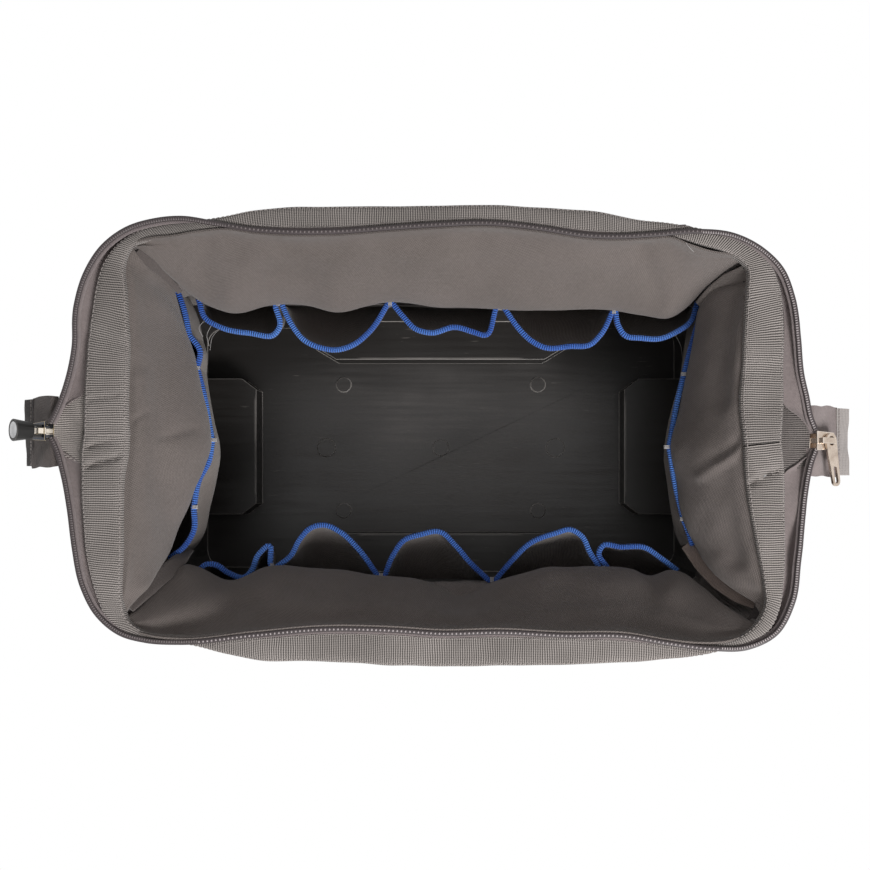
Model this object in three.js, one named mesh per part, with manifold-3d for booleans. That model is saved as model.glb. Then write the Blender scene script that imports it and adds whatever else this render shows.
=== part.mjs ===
// Zippered wide-mouth tool bag, standing open: a moulded tray, soft walls with inner pockets,
// and a hinged steel mouth frame in webbing sleeves with a coil zipper round its edge.
// Millimetres, +Z up, +X along the bag's length, +Y to its back. The origin is under its middle.

import * as THREE from "three";
import { mergeVertices } from "three/addons/utils/BufferGeometryUtils.js";
import Module from "manifold-3d";

// Tray
const TRAY_HEIGHT = 90;
const TRAY_WALL = 3;
const TRAY_FOOT = { x: 205, y: 106.5, r: 18 };
const TRAY_RIM = { x: 211.5, y: 111.5, r: 22 };
const FLANGE = { grow: 6.5, height: 6 };
const LEDGE_TOP = 30;
const CUT_PAST = 20;
const END_LEDGE = { inner: 154.5, half: 48, chamferOut: 12, chamferAlong: 9 };
const LONG_LEDGE = { inner: 73, half: 87.5, chamferOut: 12, chamferAlong: 20 };
const BOSS_HEIGHT = 1;
const BOSSES = [
  { x: 84, y: 54.5, radius: 6.5, copies: 4 },
  { x: 99, y: 0, radius: 8, copies: 2 },
  { x: 0, y: 0, radius: 7, copies: 1 },
];

// Mouth frame
const HINGE_Z = 207.5;
const LEG_X = 220;
const RAIL_Y = 145;
const RAIL_BOW = 14;
const RAIL_FULLNESS = 3;
const FRAME_CORNER = 34;
const ROD_RADIUS = 2.5;
const ROD_START = 29;
const EAR = { radius: 5.5, thick: 2.4, gap: 0.4, neck: 8.5, reach: 31, hole: 2.2 };
const RIVET = { radius: 1.8, head: 3.6, headThick: 1.2, half: 5.2 };
const SLEEVE = { legWidth: 28, railWidth: 19, thick: 11, bevel: 3, start: 9, drop: 1 };
const SLEEVE_BORE = { half: 3.6, bevel: 1.8 };

// Soft walls: levels of their inner and outer faces. x and y are the corner half sizes, r the
// corner radius, inX and inY how far the ends and the long sides are drawn in at their middles.
const INNER_LEVELS = [
  { z: 91, x: 211, y: 110, r: 22, inX: 0, inY: 0 },
  { z: 120, x: 203, y: 104, r: 18, inX: 10, inY: 1 },
  { z: 150, x: 190, y: 99, r: 14, inX: 25, inY: 3 },
  { z: 168, x: 193, y: 104, r: 14, inX: 19, inY: 2 },
  { z: 190, x: 199, y: 112, r: 16, inX: 8, inY: -6 },
  { z: 209, x: 203.8, y: 117.5, r: 20, inX: 0, inY: -14 },
];
const OUTER_LEVELS = [
  { z: 91, x: 217, y: 117, r: 27, inX: 0, inY: 0 },
  { z: 120, x: 212, y: 113, r: 25, inX: 12, inY: 1 },
  { z: 150, x: 204, y: 109.5, r: 22, inX: 27, inY: 2 },
  { z: 165, x: 212, y: 122, r: 22, inX: 20, inY: 0 },
  { z: 185, x: 224, y: 130, r: 26, inX: 6, inY: -10 },
  { z: 200.5, x: 229, y: 134, r: 30, inX: 0, inY: -13 },
];
const WALL_FOOT = 91;
const HEM_Z = 150;
const LINING_TOP = 209;
const SHELL_TOP = 200.5;
const LINING_THICK = 1.8;
const SHELL_THICK = 2;
const SEAM_GAP = 0.9;
const PANEL_GAP = 0.4;
const CORNER_TAPE = { width: 6, thick: 1.4, bevel: 0.4, inset: 2, foot: 152, top: 208 };

// Pocket strips: the seams that pin each strip to its wall, and how far each pocket stands out.
const POCKETS = {
  back: { seams: [-174, -115, -34, 46, 128, 180], depths: [20, 30, 19, 29, 22] },
  front: { seams: [-172, -121, -41, 40, 121, 174], depths: [9, 33, 30, 31, 16] },
  left: { seams: [-86, -49, 0, 53, 90], depths: [10, 10, 11, 9] },
  right: { seams: [-78, -56, -4, 48, 90], depths: [9, 10, 11, 10] },
};
const STRIP_FOOT = 94;
const STRIP_TOP = 147;
const STRIP_THICK = 1.6;
const STRIP_OFF = 2.2;
const STRIP_SHARES = [0, 0.35, 0.7, 1];
const STRIP_SWELL = 0.8;
const POCKET_FULLNESS = 3;
const MOUTH_DIP = 0.06;
const BINDING = { width: 3, height: 5 };

// Zipper: the coil's centre line on each half of the mouth, seen from above.
const COIL_RADIUS = 1.6;
const COIL_RISE = 0.1;
const COIL_DROP = 2.2;
const COIL_TOP = 8.5;
const TAPE = { width: 7, thick: 0.7, drop: 2.2 };
const ZIPPER_BACK = [
  [-256, 12], [-247, 33], [-241, 60], [-239, 86], [-232, 108], [-216, 128], [-190, 140],
  [-165, 143], [-121, 137], [-60, 136], [0, 139], [60, 138], [110, 133], [160, 133], [195, 134],
  [217, 123], [231, 110], [239, 91], [243, 62], [247, 36], [252, 10.5],
];
const ZIPPER_FRONT = [
  [-256.5, -6], [-249, -24], [-243, -53], [-237, -88], [-228, -113], [-212, -130], [-190, -137],
  [-165, -138], [-120, -133], [-75, -129], [0, -131], [60, -132], [127, -134], [160, -139],
  [200, -142], [225, -132], [239, -110], [243, -83], [247, -45], [252, -18],
];

// Zipper ends: a slider at the head of a short closed tail that slopes out and down.
const ENDS = {
  left: { sign: -1, mouthX: 259, y: 3, slope: 42 },
  right: { sign: 1, mouthX: 254, y: -3.5, slope: 32 },
};
const MOUTH_Z = 206;
const TAIL_REACH = 290;
const TAIL = { half: 24, thick: 1, start: 3, seam: 27, slot: 3.6, rim: 1 };
const TAIL_WEBBING = { half: 23, thick: 3 };
const TAIL_COIL = { start: 17.4, halfWidth: 3.2, halfThick: 1.8 };
const SLIDER = { length: 17, mouthHalf: 6.5, footHalf: 5.6, inside: 2.6, plate: 1.3 };
const SIDE_LIP = { start: 8, inner: 4.4, slit: 0.9 };
const POST = { start: 0.6, end: 5, half: 1.5 };
const CROWN = { start: 0.8, end: 14, foot: 1.8, gap: 2.5, bar: 1.5, half: 2 };
const LEFT_PULL = { place: 4, lean: 3 };
const PULL_EYE = { bar: 0.9, armIn: 2.4, armOut: 4.4, reach: 5.6 };
const GRIP = { near: 5.5, far: 7.5, length: 12.3, recess: 1.2 };
const CAP = { radius: 5.7, thick: 0.9 };
const RIGHT_PULL = { place: 11.5, lean: 11 };
const TAB = { head: 5.2, hole: 3.3, end: 3.6, length: 27.5, thick: 1.8, slotHalf: 1.7, slotStart: 19 };
const WELD = 0.5;

// End straps, handles
const END_STRAP = { width: 30, thick: 2 };
const END_STRAP_LINE = [[237, 199.5], [248, 198], [249, 190], [240, 155], [228, 118], [220.5, 94]];
const HANDLE = { halfSpan: 75, width: 25, thick: 2.4, y: 121.5, pivotZ: 142, foot: 46, bend: 30 };
const GRIP_WRAP = { half: 46, width: 33, thick: 12, bevel: 4 };
const ANCHOR = { width: 25, thick: 2.2, foot: 95, top: 138, loopInset: 3.6, loopRise: 2 };
const STRAP_BEVEL = 0.5;
const FIT_GAP = 0.4;

// Steps of the faceted surfaces
const CORNER_STEPS = 2;
const SIDE_STEPS = 10;
const POCKET_STEPS = 6;
const COIL_STEPS = 64;
const ROUND_STEPS = 6;
const FRAME_STEPS = 5;
const RAIL_SHARES = [0.8, 0.55, 0.28];
const ROD_SIDES = 8;
const PIN_SIDES = 12;
const BOSS_SIDES = 14;
const GRIP_SIDES = 20;

const UP = new THREE.Vector3(0, 0, 1);
const BACKWARD = new THREE.Vector3(0, 1, 0);
const wasm = await Module();
wasm.setup();

// Solids

function closedMesh(points, triangles) {
  let volume = 0;
  for (const [a, b, c] of triangles) {
    volume += points[a].dot(new THREE.Vector3().crossVectors(points[b], points[c]));
  }
  const ordered = volume < 0 ? triangles.map(([a, b, c]) => [a, c, b]) : triangles;
  const geometry = new THREE.BufferGeometry().setFromPoints(points);
  geometry.setIndex(ordered.flat());
  geometry.computeVertexNormals();
  return geometry;
}

function quad(a, b, c, d) {
  return [[a, b, c], [a, c, d]];
}

// The same quad seen from behind, cut along the same diagonal, so that two faces never cross
function quadBehind(a, b, c, d) {
  return [[a, c, b], [a, d, c]];
}

// A body between two grids of points with the same rows and columns
function slab(near, far) {
  const rows = near.length;
  const columns = near[0].length;
  const points = [...near.flat(), ...far.flat()];
  const at = (side, row, column) => side * rows * columns + row * columns + column;
  const triangles = [];
  for (let row = 0; row < rows - 1; row += 1) {
    for (let column = 0; column < columns - 1; column += 1) {
      const corners = (side) => [
        at(side, row, column), at(side, row, column + 1),
        at(side, row + 1, column + 1), at(side, row + 1, column),
      ];
      triangles.push(...quad(...corners(0)), ...quadBehind(...corners(1)));
    }
    for (const [column, turned] of [[0, false], [columns - 1, true]]) {
      const edge = [at(0, row, column), at(0, row + 1, column), at(1, row + 1, column), at(1, row, column)];
      triangles.push(...quad(...(turned ? edge.reverse() : edge)));
    }
  }
  for (let column = 0; column < columns - 1; column += 1) {
    for (const [row, turned] of [[0, true], [rows - 1, false]]) {
      const edge = [at(0, row, column), at(0, row, column + 1), at(1, row, column + 1), at(1, row, column)];
      triangles.push(...quad(...(turned ? edge.reverse() : edge)));
    }
  }
  return closedMesh(points, triangles);
}

// A body through rings of points, closed by a fan at each end
function loft(rings) {
  const count = rings[0].length;
  const points = rings.flat();
  const triangles = [];
  for (let ring = 0; ring < rings.length - 1; ring += 1) {
    for (let i = 0; i < count; i += 1) {
      const next = (i + 1) % count;
      const base = ring * count;
      triangles.push(...quad(base + i, base + next, base + count + next, base + count + i));
    }
  }
  const last = (rings.length - 1) * count;
  for (let i = 1; i < count - 1; i += 1) {
    triangles.push([0, i + 1, i], [last, last + i, last + i + 1]);
  }
  return closedMesh(points, triangles);
}

// A sleeve: a body through outer rings with a bore through inner rings
function sleeve(outer, inner) {
  const count = outer[0].length;
  const rings = outer.length;
  const points = [...outer.flat(), ...inner.flat()];
  const at = (side, ring, i) => (side * rings + ring) * count + (i % count);
  const triangles = [];
  for (let i = 0; i < count; i += 1) {
    for (let ring = 0; ring < rings - 1; ring += 1) {
      const corners = (side) => [
        at(side, ring, i), at(side, ring, i + 1), at(side, ring + 1, i + 1), at(side, ring + 1, i),
      ];
      triangles.push(...quad(...corners(0)), ...quadBehind(...corners(1)));
    }
    for (const [ring, turned] of [[0, true], [rings - 1, false]]) {
      const face = [at(0, ring, i), at(0, ring, i + 1), at(1, ring, i + 1), at(1, ring, i)];
      triangles.push(...quad(...(turned ? face.reverse() : face)));
    }
  }
  return closedMesh(points, triangles);
}

function toSolid(geometry) {
  const bare = geometry.clone();
  bare.deleteAttribute("normal");
  bare.deleteAttribute("uv");
  const merged = mergeVertices(bare, 1e-4);
  return new wasm.Manifold(new wasm.Mesh({
    numProp: 3,
    vertProperties: new Float32Array(merged.attributes.position.array),
    triVerts: new Uint32Array(merged.index.array),
  }));
}

function fromSolid(solid) {
  const mesh = solid.getMesh();
  const geometry = new THREE.BufferGeometry();
  geometry.setAttribute("position", new THREE.BufferAttribute(new Float32Array(mesh.vertProperties), 3));
  geometry.setIndex(new THREE.BufferAttribute(new Uint32Array(mesh.triVerts), 1));
  geometry.computeVertexNormals();
  return geometry;
}

function join(geometries) {
  return geometries.map(toSolid).reduce((whole, piece) => whole.add(piece));
}

function extrude(shape, depth) {
  return new THREE.ExtrudeGeometry(shape, { depth, bevelEnabled: false, curveSegments: ROUND_STEPS });
}

function block(x0, x1, y0, y1, z0, z1) {
  const geometry = new THREE.BoxGeometry(x1 - x0, y1 - y0, z1 - z0);
  return geometry.translate((x0 + x1) / 2, (y0 + y1) / 2, (z0 + z1) / 2);
}

// Sections and paths

function oval(width, height, steps = ROUND_STEPS) {
  return Array.from({ length: steps }, (_, i) => {
    const turn = (2 * Math.PI * (i + 0.5)) / steps;
    return [(width / 2) * Math.cos(turn), (height / 2) * Math.sin(turn)];
  });
}

function bevelledBox(width, height, bevel) {
  const [w, h] = [width / 2, height / 2];
  return [
    [w, bevel - h], [w, h - bevel], [w - bevel, h], [bevel - w, h],
    [-w, h - bevel], [-w, bevel - h], [bevel - w, -h], [w - bevel, -h],
  ];
}

// Rings of a section carried along a path, with its second axis kept near up
function carry(path, sectionAt, up = UP) {
  return path.map((point, i) => {
    const behind = path[Math.max(i - 1, 0)];
    const ahead = path[Math.min(i + 1, path.length - 1)].clone().sub(behind).normalize();
    const across = new THREE.Vector3().crossVectors(ahead, up).normalize();
    const lift = new THREE.Vector3().crossVectors(across, ahead);
    return sectionAt(i).map(([a, b]) => (
      point.clone().addScaledVector(across, a).addScaledVector(lift, b)
    ));
  });
}

function between(a, b, share) {
  return a + (b - a) * share;
}

function arcPoints(cx, cy, radius, from, to, steps) {
  return Array.from({ length: steps + 1 }, (_, i) => {
    const turn = THREE.MathUtils.degToRad(between(from, to, i / steps));
    return [cx + radius * Math.cos(turn), cy + radius * Math.sin(turn)];
  });
}

function roundedRing({ x, y, r }, z, grow = 0) {
  const [hx, hy, radius] = [x + grow, y + grow, r + grow];
  const corners = [[1, 1, 0], [-1, 1, 90], [-1, -1, 180], [1, -1, 270]];
  return corners.flatMap(([sx, sy, turn]) => (
    arcPoints(sx * (hx - radius), sy * (hy - radius), radius, turn, turn + 90, ROUND_STEPS)
  )).map(([px, py]) => new THREE.Vector3(px, py, z));
}

// Soft wall faces

const SIDES = {
  back: { along: "x", place: (along, out, z) => new THREE.Vector3(along, out, z) },
  front: { along: "x", place: (along, out, z) => new THREE.Vector3(along, -out, z) },
  left: { along: "y", place: (along, out, z) => new THREE.Vector3(-out, along, z) },
  right: { along: "y", place: (along, out, z) => new THREE.Vector3(out, along, z) },
};

function levelAt(levels, z) {
  const above = Math.max(1, levels.findIndex((level) => level.z >= z));
  const [low, high] = [levels[above - 1], levels[above]];
  const share = (z - low.z) / (high.z - low.z);
  const mixed = {};
  for (const key of Object.keys(low)) {
    mixed[key] = between(low[key], high[key], share);
  }
  return mixed;
}

function sideSizes(side, level) {
  return SIDES[side].along === "x"
    ? { half: level.x, out: level.y, drawn: level.inY, r: level.r }
    : { half: level.y, out: level.x, drawn: level.inX, r: level.r };
}

// How far out a wall face lies at a place along its side
function outAt(side, level, along) {
  const { half, out, drawn, r } = sideSizes(side, level);
  const straight = half - r;
  const past = Math.max(0, Math.abs(along) - straight);
  if (past > 0) {
    return out - r + Math.sqrt(Math.max(0, r * r - past * past));
  }
  return out - drawn * Math.cos((Math.PI / 2) * (along / straight)) ** 2;
}

// One row of a wall face, from the seam in one corner to the seam in the next
function wallRow(side, level) {
  const { half, out, r } = sideSizes(side, level);
  const spare = THREE.MathUtils.radToDeg(SEAM_GAP / r);
  const row = arcPoints(r - half, out - r, r, 135 - spare, 90, CORNER_STEPS).slice(0, -1);
  for (let i = 0; i <= SIDE_STEPS; i += 1) {
    const along = between(r - half, half - r, i / SIDE_STEPS);
    row.push([along, outAt(side, level, along)]);
  }
  row.push(...arcPoints(half - r, out - r, r, 90, 45 + spare, CORNER_STEPS).slice(1));
  return row.map(([along, o]) => SIDES[side].place(along, o, level.z));
}

function wallFace(side, levels, heights, grow = 0) {
  return heights.map((z) => {
    const level = levelAt(levels, z);
    return wallRow(side, { ...level, x: level.x + grow, y: level.y + grow, r: level.r + grow });
  });
}

function heightsWithin(levels, foot, top) {
  const inside = levels.map(({ z }) => z).filter((z) => z > foot + PANEL_GAP && z < top - PANEL_GAP);
  return [foot, ...inside, top];
}

function lowerWall(side) {
  const heights = heightsWithin(INNER_LEVELS, WALL_FOOT, HEM_Z - PANEL_GAP);
  return slab(wallFace(side, INNER_LEVELS, heights), wallFace(side, OUTER_LEVELS, heights));
}

function upperLining(side) {
  const heights = heightsWithin(INNER_LEVELS, HEM_Z + PANEL_GAP, LINING_TOP);
  return slab(
    wallFace(side, INNER_LEVELS, heights),
    wallFace(side, INNER_LEVELS, heights, LINING_THICK),
  );
}

function upperShell(side) {
  const heights = heightsWithin(OUTER_LEVELS, HEM_Z + PANEL_GAP, SHELL_TOP);
  return slab(
    wallFace(side, OUTER_LEVELS, heights, -SHELL_THICK),
    wallFace(side, OUTER_LEVELS, heights),
  );
}

// A narrow tape over the seam between two linings, inside a corner of the bag
function cornerSeam(signX, signY) {
  const { width, thick, bevel, foot, top } = CORNER_TAPE;
  const path = heightsWithin(INNER_LEVELS, foot, top).map((z) => {
    const { x, y, r } = levelAt(INNER_LEVELS, z);
    const inset = r * (1 - Math.SQRT1_2) + CORNER_TAPE.inset;
    return new THREE.Vector3(signX * (x - inset), signY * (y - inset), z);
  });
  const outward = new THREE.Vector3(signX, signY, 0).normalize();
  return loft(carry(path, () => bevelledBox(width, thick, bevel), outward));
}

// Pockets

function pocketPoints(side) {
  const { seams, depths } = POCKETS[side];
  const points = [{ along: seams[0], bulge: 0, dip: 0 }];
  depths.forEach((depth, pocket) => {
    const [start, end] = [seams[pocket], seams[pocket + 1]];
    for (let i = 1; i <= POCKET_STEPS; i += 1) {
      const share = i / POCKET_STEPS;
      const bow = 1 - Math.abs(2 * share - 1) ** POCKET_FULLNESS;
      const dip = MOUTH_DIP * (end - start) * bow;
      points.push({ along: between(start, end, share), bulge: depth * bow, dip });
    }
  });
  return points;
}

// The strip stands out most at its mouth and meets the wall again at its foot
function stripRow(side, share, off) {
  return pocketPoints(side).map(({ along, bulge, dip }) => {
    const z = between(STRIP_FOOT, STRIP_TOP - dip, share);
    const wall = outAt(side, levelAt(INNER_LEVELS, between(z, HEM_Z, share ** 2)), along);
    return SIDES[side].place(along, wall - STRIP_OFF - off - bulge * share ** STRIP_SWELL, z);
  });
}

function pocketStrip(side) {
  return slab(
    STRIP_SHARES.map((share) => stripRow(side, share, STRIP_THICK / 2)),
    STRIP_SHARES.map((share) => stripRow(side, share, -STRIP_THICK / 2)),
  );
}

function pocketBinding(side) {
  const lift = BINDING.height / 2 + FIT_GAP;
  const path = stripRow(side, 1, 0).map((point) => point.add(new THREE.Vector3(0, 0, lift)));
  return loft(carry(path, () => oval(BINDING.width, BINDING.height)));
}

// Tray

function ledgeOutline({ inner, half, chamferOut, chamferAlong }, outside, shrink) {
  const [near, wide] = [inner + shrink, half + chamferAlong - shrink];
  return [
    [outside, wide], [near + chamferOut, wide], [near, half - shrink / 2],
    [near, shrink / 2 - half], [near + chamferOut, -wide], [outside, -wide],
  ];
}

function ledgeBlock(ledge, outside, shrink, turn, z0, z1) {
  const outline = ledgeOutline(ledge, outside, shrink).map(([out, along]) => new THREE.Vector2(out, along));
  return toSolid(extrude(new THREE.Shape(outline), z1 - z0).translate(0, 0, z0).rotateZ(turn));
}

function bossPlaces({ x, y, copies }) {
  if (copies === 1) {
    return [[x, y]];
  }
  return copies === 2 ? [[x, y], [-x, y]] : [[x, y], [-x, y], [-x, -y], [x, -y]];
}

function tray() {
  const outer = toSolid(loft([roundedRing(TRAY_FOOT, 0), roundedRing(TRAY_RIM, TRAY_HEIGHT)]));
  const inner = toSolid(loft([
    roundedRing(TRAY_FOOT, TRAY_WALL, -TRAY_WALL), roundedRing(TRAY_RIM, TRAY_HEIGHT + WELD, -TRAY_WALL),
  ]));
  const flangeFoot = TRAY_HEIGHT - FLANGE.height;
  const flange = toSolid(loft([
    roundedRing(TRAY_RIM, flangeFoot, FLANGE.grow - 1),
    roundedRing(TRAY_RIM, TRAY_HEIGHT, FLANGE.grow),
  ]));
  const ledges = [
    [END_LEDGE, TRAY_FOOT.x, 0], [END_LEDGE, TRAY_FOOT.x, Math.PI],
    [LONG_LEDGE, TRAY_FOOT.y, Math.PI / 2], [LONG_LEDGE, TRAY_FOOT.y, -Math.PI / 2],
  ];
  let body = outer.add(flange).subtract(inner);
  for (const [ledge, edge, turn] of ledges) {
    body = body.add(ledgeBlock(ledge, edge, 0, turn, 0, LEDGE_TOP).intersect(outer));
  }
  const recessTop = LEDGE_TOP - TRAY_WALL;
  for (const [ledge, edge, turn] of ledges) {
    body = body.subtract(ledgeBlock(ledge, edge + CUT_PAST, TRAY_WALL, turn, -CUT_PAST, recessTop));
  }
  for (const boss of BOSSES) {
    for (const [x, y] of bossPlaces(boss)) {
      const disc = new THREE.CylinderGeometry(boss.radius, boss.radius, BOSS_HEIGHT + WELD, BOSS_SIDES);
      disc.rotateX(Math.PI / 2).translate(x, y, TRAY_WALL + (BOSS_HEIGHT - WELD) / 2);
      body = body.add(toSolid(disc));
    }
  }
  return fromSolid(body);
}

// Mouth frame

// The line of the mouth frame's bar, from its right end round to its left end. Its rail bows
// outwards between the corners.
function mouthPath(side, legStart) {
  const sign = side === "back" ? 1 : -1;
  const turnX = LEG_X - FRAME_CORNER;
  const turnY = RAIL_Y - RAIL_BOW - FRAME_CORNER;
  const half = [[LEG_X, legStart], [LEG_X, (legStart + turnY) / 2]];
  half.push(...arcPoints(turnX, turnY, FRAME_CORNER, 0, 90, FRAME_STEPS));
  for (const share of RAIL_SHARES) {
    half.push([turnX * share, RAIL_Y - RAIL_BOW * share ** RAIL_FULLNESS]);
  }
  const whole = [...half, [0, RAIL_Y], ...half.map(([x, y]) => [-x, y]).reverse()];
  return whole.map(([x, y]) => new THREE.Vector3(x, sign * y, HINGE_Z));
}

function frameEar(side, end) {
  const [signX, signY] = [end === "right" ? 1 : -1, side === "back" ? 1 : -1];
  const shape = new THREE.Shape();
  shape.moveTo(EAR.reach, ROD_RADIUS);
  shape.lineTo(EAR.neck, ROD_RADIUS);
  shape.lineTo(0, EAR.radius);
  shape.absarc(0, 0, EAR.radius, Math.PI / 2, (3 * Math.PI) / 2, false);
  shape.lineTo(EAR.neck, -ROD_RADIUS);
  shape.lineTo(EAR.reach, -ROD_RADIUS);
  shape.holes.push(new THREE.Path().absarc(0, 0, EAR.hole, 0, 2 * Math.PI, true));
  const geometry = extrude(shape, EAR.thick);
  geometry.rotateX(Math.PI / 2).rotateZ(side === "back" ? Math.PI / 2 : -Math.PI / 2);
  geometry.computeBoundingBox();
  const middle = (geometry.boundingBox.min.x + geometry.boundingBox.max.x) / 2;
  const offset = signX * LEG_X + signY * signX * (EAR.thick / 2 + EAR.gap) - middle;
  return geometry.translate(offset, 0, HINGE_Z);
}

function frameBar(side) {
  const width = 2 * ROD_RADIUS;
  const rod = loft(carry(mouthPath(side, ROD_START), () => oval(width, width, ROD_SIDES)));
  return fromSolid(join([rod, frameEar(side, "left"), frameEar(side, "right")]));
}

function hingeRivet(sign) {
  const pieces = [new THREE.CylinderGeometry(RIVET.radius, RIVET.radius, 2 * RIVET.half, PIN_SIDES)];
  for (const place of [-RIVET.half, RIVET.half]) {
    const head = new THREE.CylinderGeometry(RIVET.head, RIVET.head, RIVET.headThick, PIN_SIDES);
    pieces.push(head.translate(0, place, 0));
  }
  return fromSolid(join(pieces)).rotateZ(Math.PI / 2).translate(sign * LEG_X, 0, HINGE_Z);
}

function casing(side) {
  const path = mouthPath(side, SLEEVE.start);
  const turnY = RAIL_Y - RAIL_BOW - FRAME_CORNER;
  const lowered = path.map((point) => point.clone().addScaledVector(UP, -SLEEVE.drop));
  const outer = carry(lowered, (i) => {
    const share = THREE.MathUtils.clamp((Math.abs(path[i].y) - turnY) / FRAME_CORNER, 0, 1);
    return bevelledBox(between(SLEEVE.legWidth, SLEEVE.railWidth, share), SLEEVE.thick, SLEEVE.bevel);
  });
  const bore = bevelledBox(2 * SLEEVE_BORE.half, 2 * SLEEVE_BORE.half, SLEEVE_BORE.bevel);
  return sleeve(outer, carry(path, () => bore));
}

// Zipper

function coilHeight(y) {
  return HINGE_Z + Math.min(COIL_RISE * Math.abs(y) - COIL_DROP, COIL_TOP);
}

function zipperPath(places, drop, steps) {
  const flat = places.map(([x, y]) => new THREE.Vector3(x, y, 0));
  const curve = new THREE.CatmullRomCurve3(flat, false, "centripetal");
  return curve.getSpacedPoints(steps).map(({ x, y }) => new THREE.Vector3(x, y, coilHeight(y) - drop));
}

function coil(places) {
  return loft(carry(zipperPath(places, 0, COIL_STEPS), () => oval(2 * COIL_RADIUS, 2 * COIL_RADIUS)));
}

function tape(places) {
  return loft(carry(zipperPath(places, TAPE.drop, COIL_STEPS), () => [
    [TAPE.width / 2, -TAPE.thick / 2], [TAPE.width / 2, TAPE.thick / 2],
    [-TAPE.width / 2, TAPE.thick / 2], [-TAPE.width / 2, -TAPE.thick / 2],
  ]));
}

// Zipper ends. Each is drawn lying flat, with x down the tail, y across it and z out of its
// face, and its group turns it on to the slope of the tail.

function plate(outline, z0, z1) {
  const shape = new THREE.Shape(outline.map(([x, y]) => new THREE.Vector2(x, y)));
  return extrude(shape, z1 - z0).translate(0, 0, z0);
}

function slider() {
  const { length, mouthHalf, footHalf, inside } = SLIDER;
  const outline = [[0, -mouthHalf], [length, -footHalf], [length, footHalf], [0, mouthHalf]];
  const top = inside + SLIDER.plate;
  const pieces = [
    plate(outline, inside, top),
    plate(outline, -top, -inside),
    block(POST.start, POST.end, -POST.half, POST.half, -inside - WELD, inside + WELD),
  ];
  const { start, inner, slit } = SIDE_LIP;
  const lip = [[start, inner], [length, inner], [length, footHalf], [start, footHalf]];
  for (const sign of [1, -1]) {
    const edge = lip.map(([x, y]) => [x, sign * y]);
    pieces.push(plate(edge, slit, inside + WELD), plate(edge, -inside - WELD, -slit));
  }
  const crownTop = top + CROWN.gap + CROWN.bar;
  for (const [x0, x1, z0] of [
    [CROWN.start, CROWN.start + CROWN.foot, top - WELD],
    [CROWN.end - CROWN.foot, CROWN.end, top - WELD],
    [CROWN.start, CROWN.end, top + CROWN.gap],
  ]) {
    pieces.push(block(x0, x1, -CROWN.half, CROWN.half, z0, crownTop));
  }
  return fromSolid(join(pieces));
}

// The left pull: an eye round the slider's crown and a moulded cone, standing along its own z,
// with a seat for its cap in the far end
function conePull() {
  const { bar, armIn, armOut, reach } = PULL_EYE;
  const { near, far, length, recess } = GRIP;
  const seat = CAP.radius + FIT_GAP;
  const floor = length - recess;
  const profile = [[0, 0], [near, 0], [far, length], [seat, length], [seat, floor], [0, floor]];
  const cone = new THREE.LatheGeometry(profile.map(([r, z]) => new THREE.Vector2(r, z)), GRIP_SIDES);
  cone.rotateX(Math.PI / 2).translate(0, 0, reach);
  return fromSolid(join([
    block(-bar, bar, -armOut, armOut, -bar, bar),
    block(-bar, bar, armIn, armOut, -bar, reach + WELD),
    block(-bar, bar, -armOut, -armIn, -bar, reach + WELD),
    cone,
  ]));
}

function pullCap() {
  const disc = new THREE.CylinderGeometry(CAP.radius, CAP.radius, CAP.thick, GRIP_SIDES);
  return disc.rotateX(Math.PI / 2).translate(0, 0, PULL_EYE.reach + GRIP.length - CAP.thick / 2);
}

// The right pull: a flat tab, its round head looped over the crown's foot, along its own -y
function tabPull() {
  const shape = new THREE.Shape();
  shape.absarc(0, 0, TAB.head, 0, Math.PI, false);
  shape.lineTo(-TAB.end, -TAB.length);
  shape.absarc(0, -TAB.length, TAB.end, Math.PI, 2 * Math.PI, false);
  shape.holes.push(new THREE.Path().absarc(0, 0, TAB.hole, 0, 2 * Math.PI, true));
  const slot = new THREE.Path();
  slot.absarc(0, -TAB.slotStart, TAB.slotHalf, 0, Math.PI, false);
  slot.lineTo(-TAB.slotHalf, -TAB.length);
  slot.absarc(0, -TAB.length, TAB.slotHalf, Math.PI, 2 * Math.PI, false);
  shape.holes.push(slot);
  return extrude(shape, TAB.thick).translate(0, 0, -TAB.thick / 2);
}

// The fabric on both sides of the closed coil, open down its middle for the coil and the slider
function tailSheet() {
  const { half, thick, start, seam, slot, rim } = TAIL;
  const outline = [
    [start, -half], [seam, -half], [seam, half], [start, half],
    [start, SLIDER.mouthHalf], [start + rim, slot], [seam - rim, slot], [seam - rim, -slot],
    [start + rim, -slot], [start, -SLIDER.mouthHalf],
  ];
  return plate(outline, -thick / 2, thick / 2);
}

function tailWebbing(length) {
  const { half, thick } = TAIL_WEBBING;
  return block(TAIL.seam + FIT_GAP, length, -half, half, -thick / 2, thick / 2);
}

function tailCoil() {
  const { start, halfWidth, halfThick } = TAIL_COIL;
  return block(start, TAIL.seam - TAIL.rim - FIT_GAP, -halfWidth, halfWidth, -halfThick, halfThick);
}

// End straps, handles and their anchors

function endStrap({ sign, y }) {
  const points = END_STRAP_LINE.map(([x, z]) => new THREE.Vector3(sign * x, y, z));
  return loft(carry(points, () => bevelledBox(END_STRAP.thick, END_STRAP.width, STRAP_BEVEL), BACKWARD));
}

function handlePath() {
  const { halfSpan, pivotZ, foot, bend } = HANDLE;
  const half = [[halfSpan, pivotZ], [halfSpan, (pivotZ + foot + bend) / 2]];
  half.push(...arcPoints(halfSpan - bend, foot + bend, bend, 0, -90, FRAME_STEPS));
  return [...half, ...half.map(([x, z]) => [-x, z]).reverse()];
}

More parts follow.
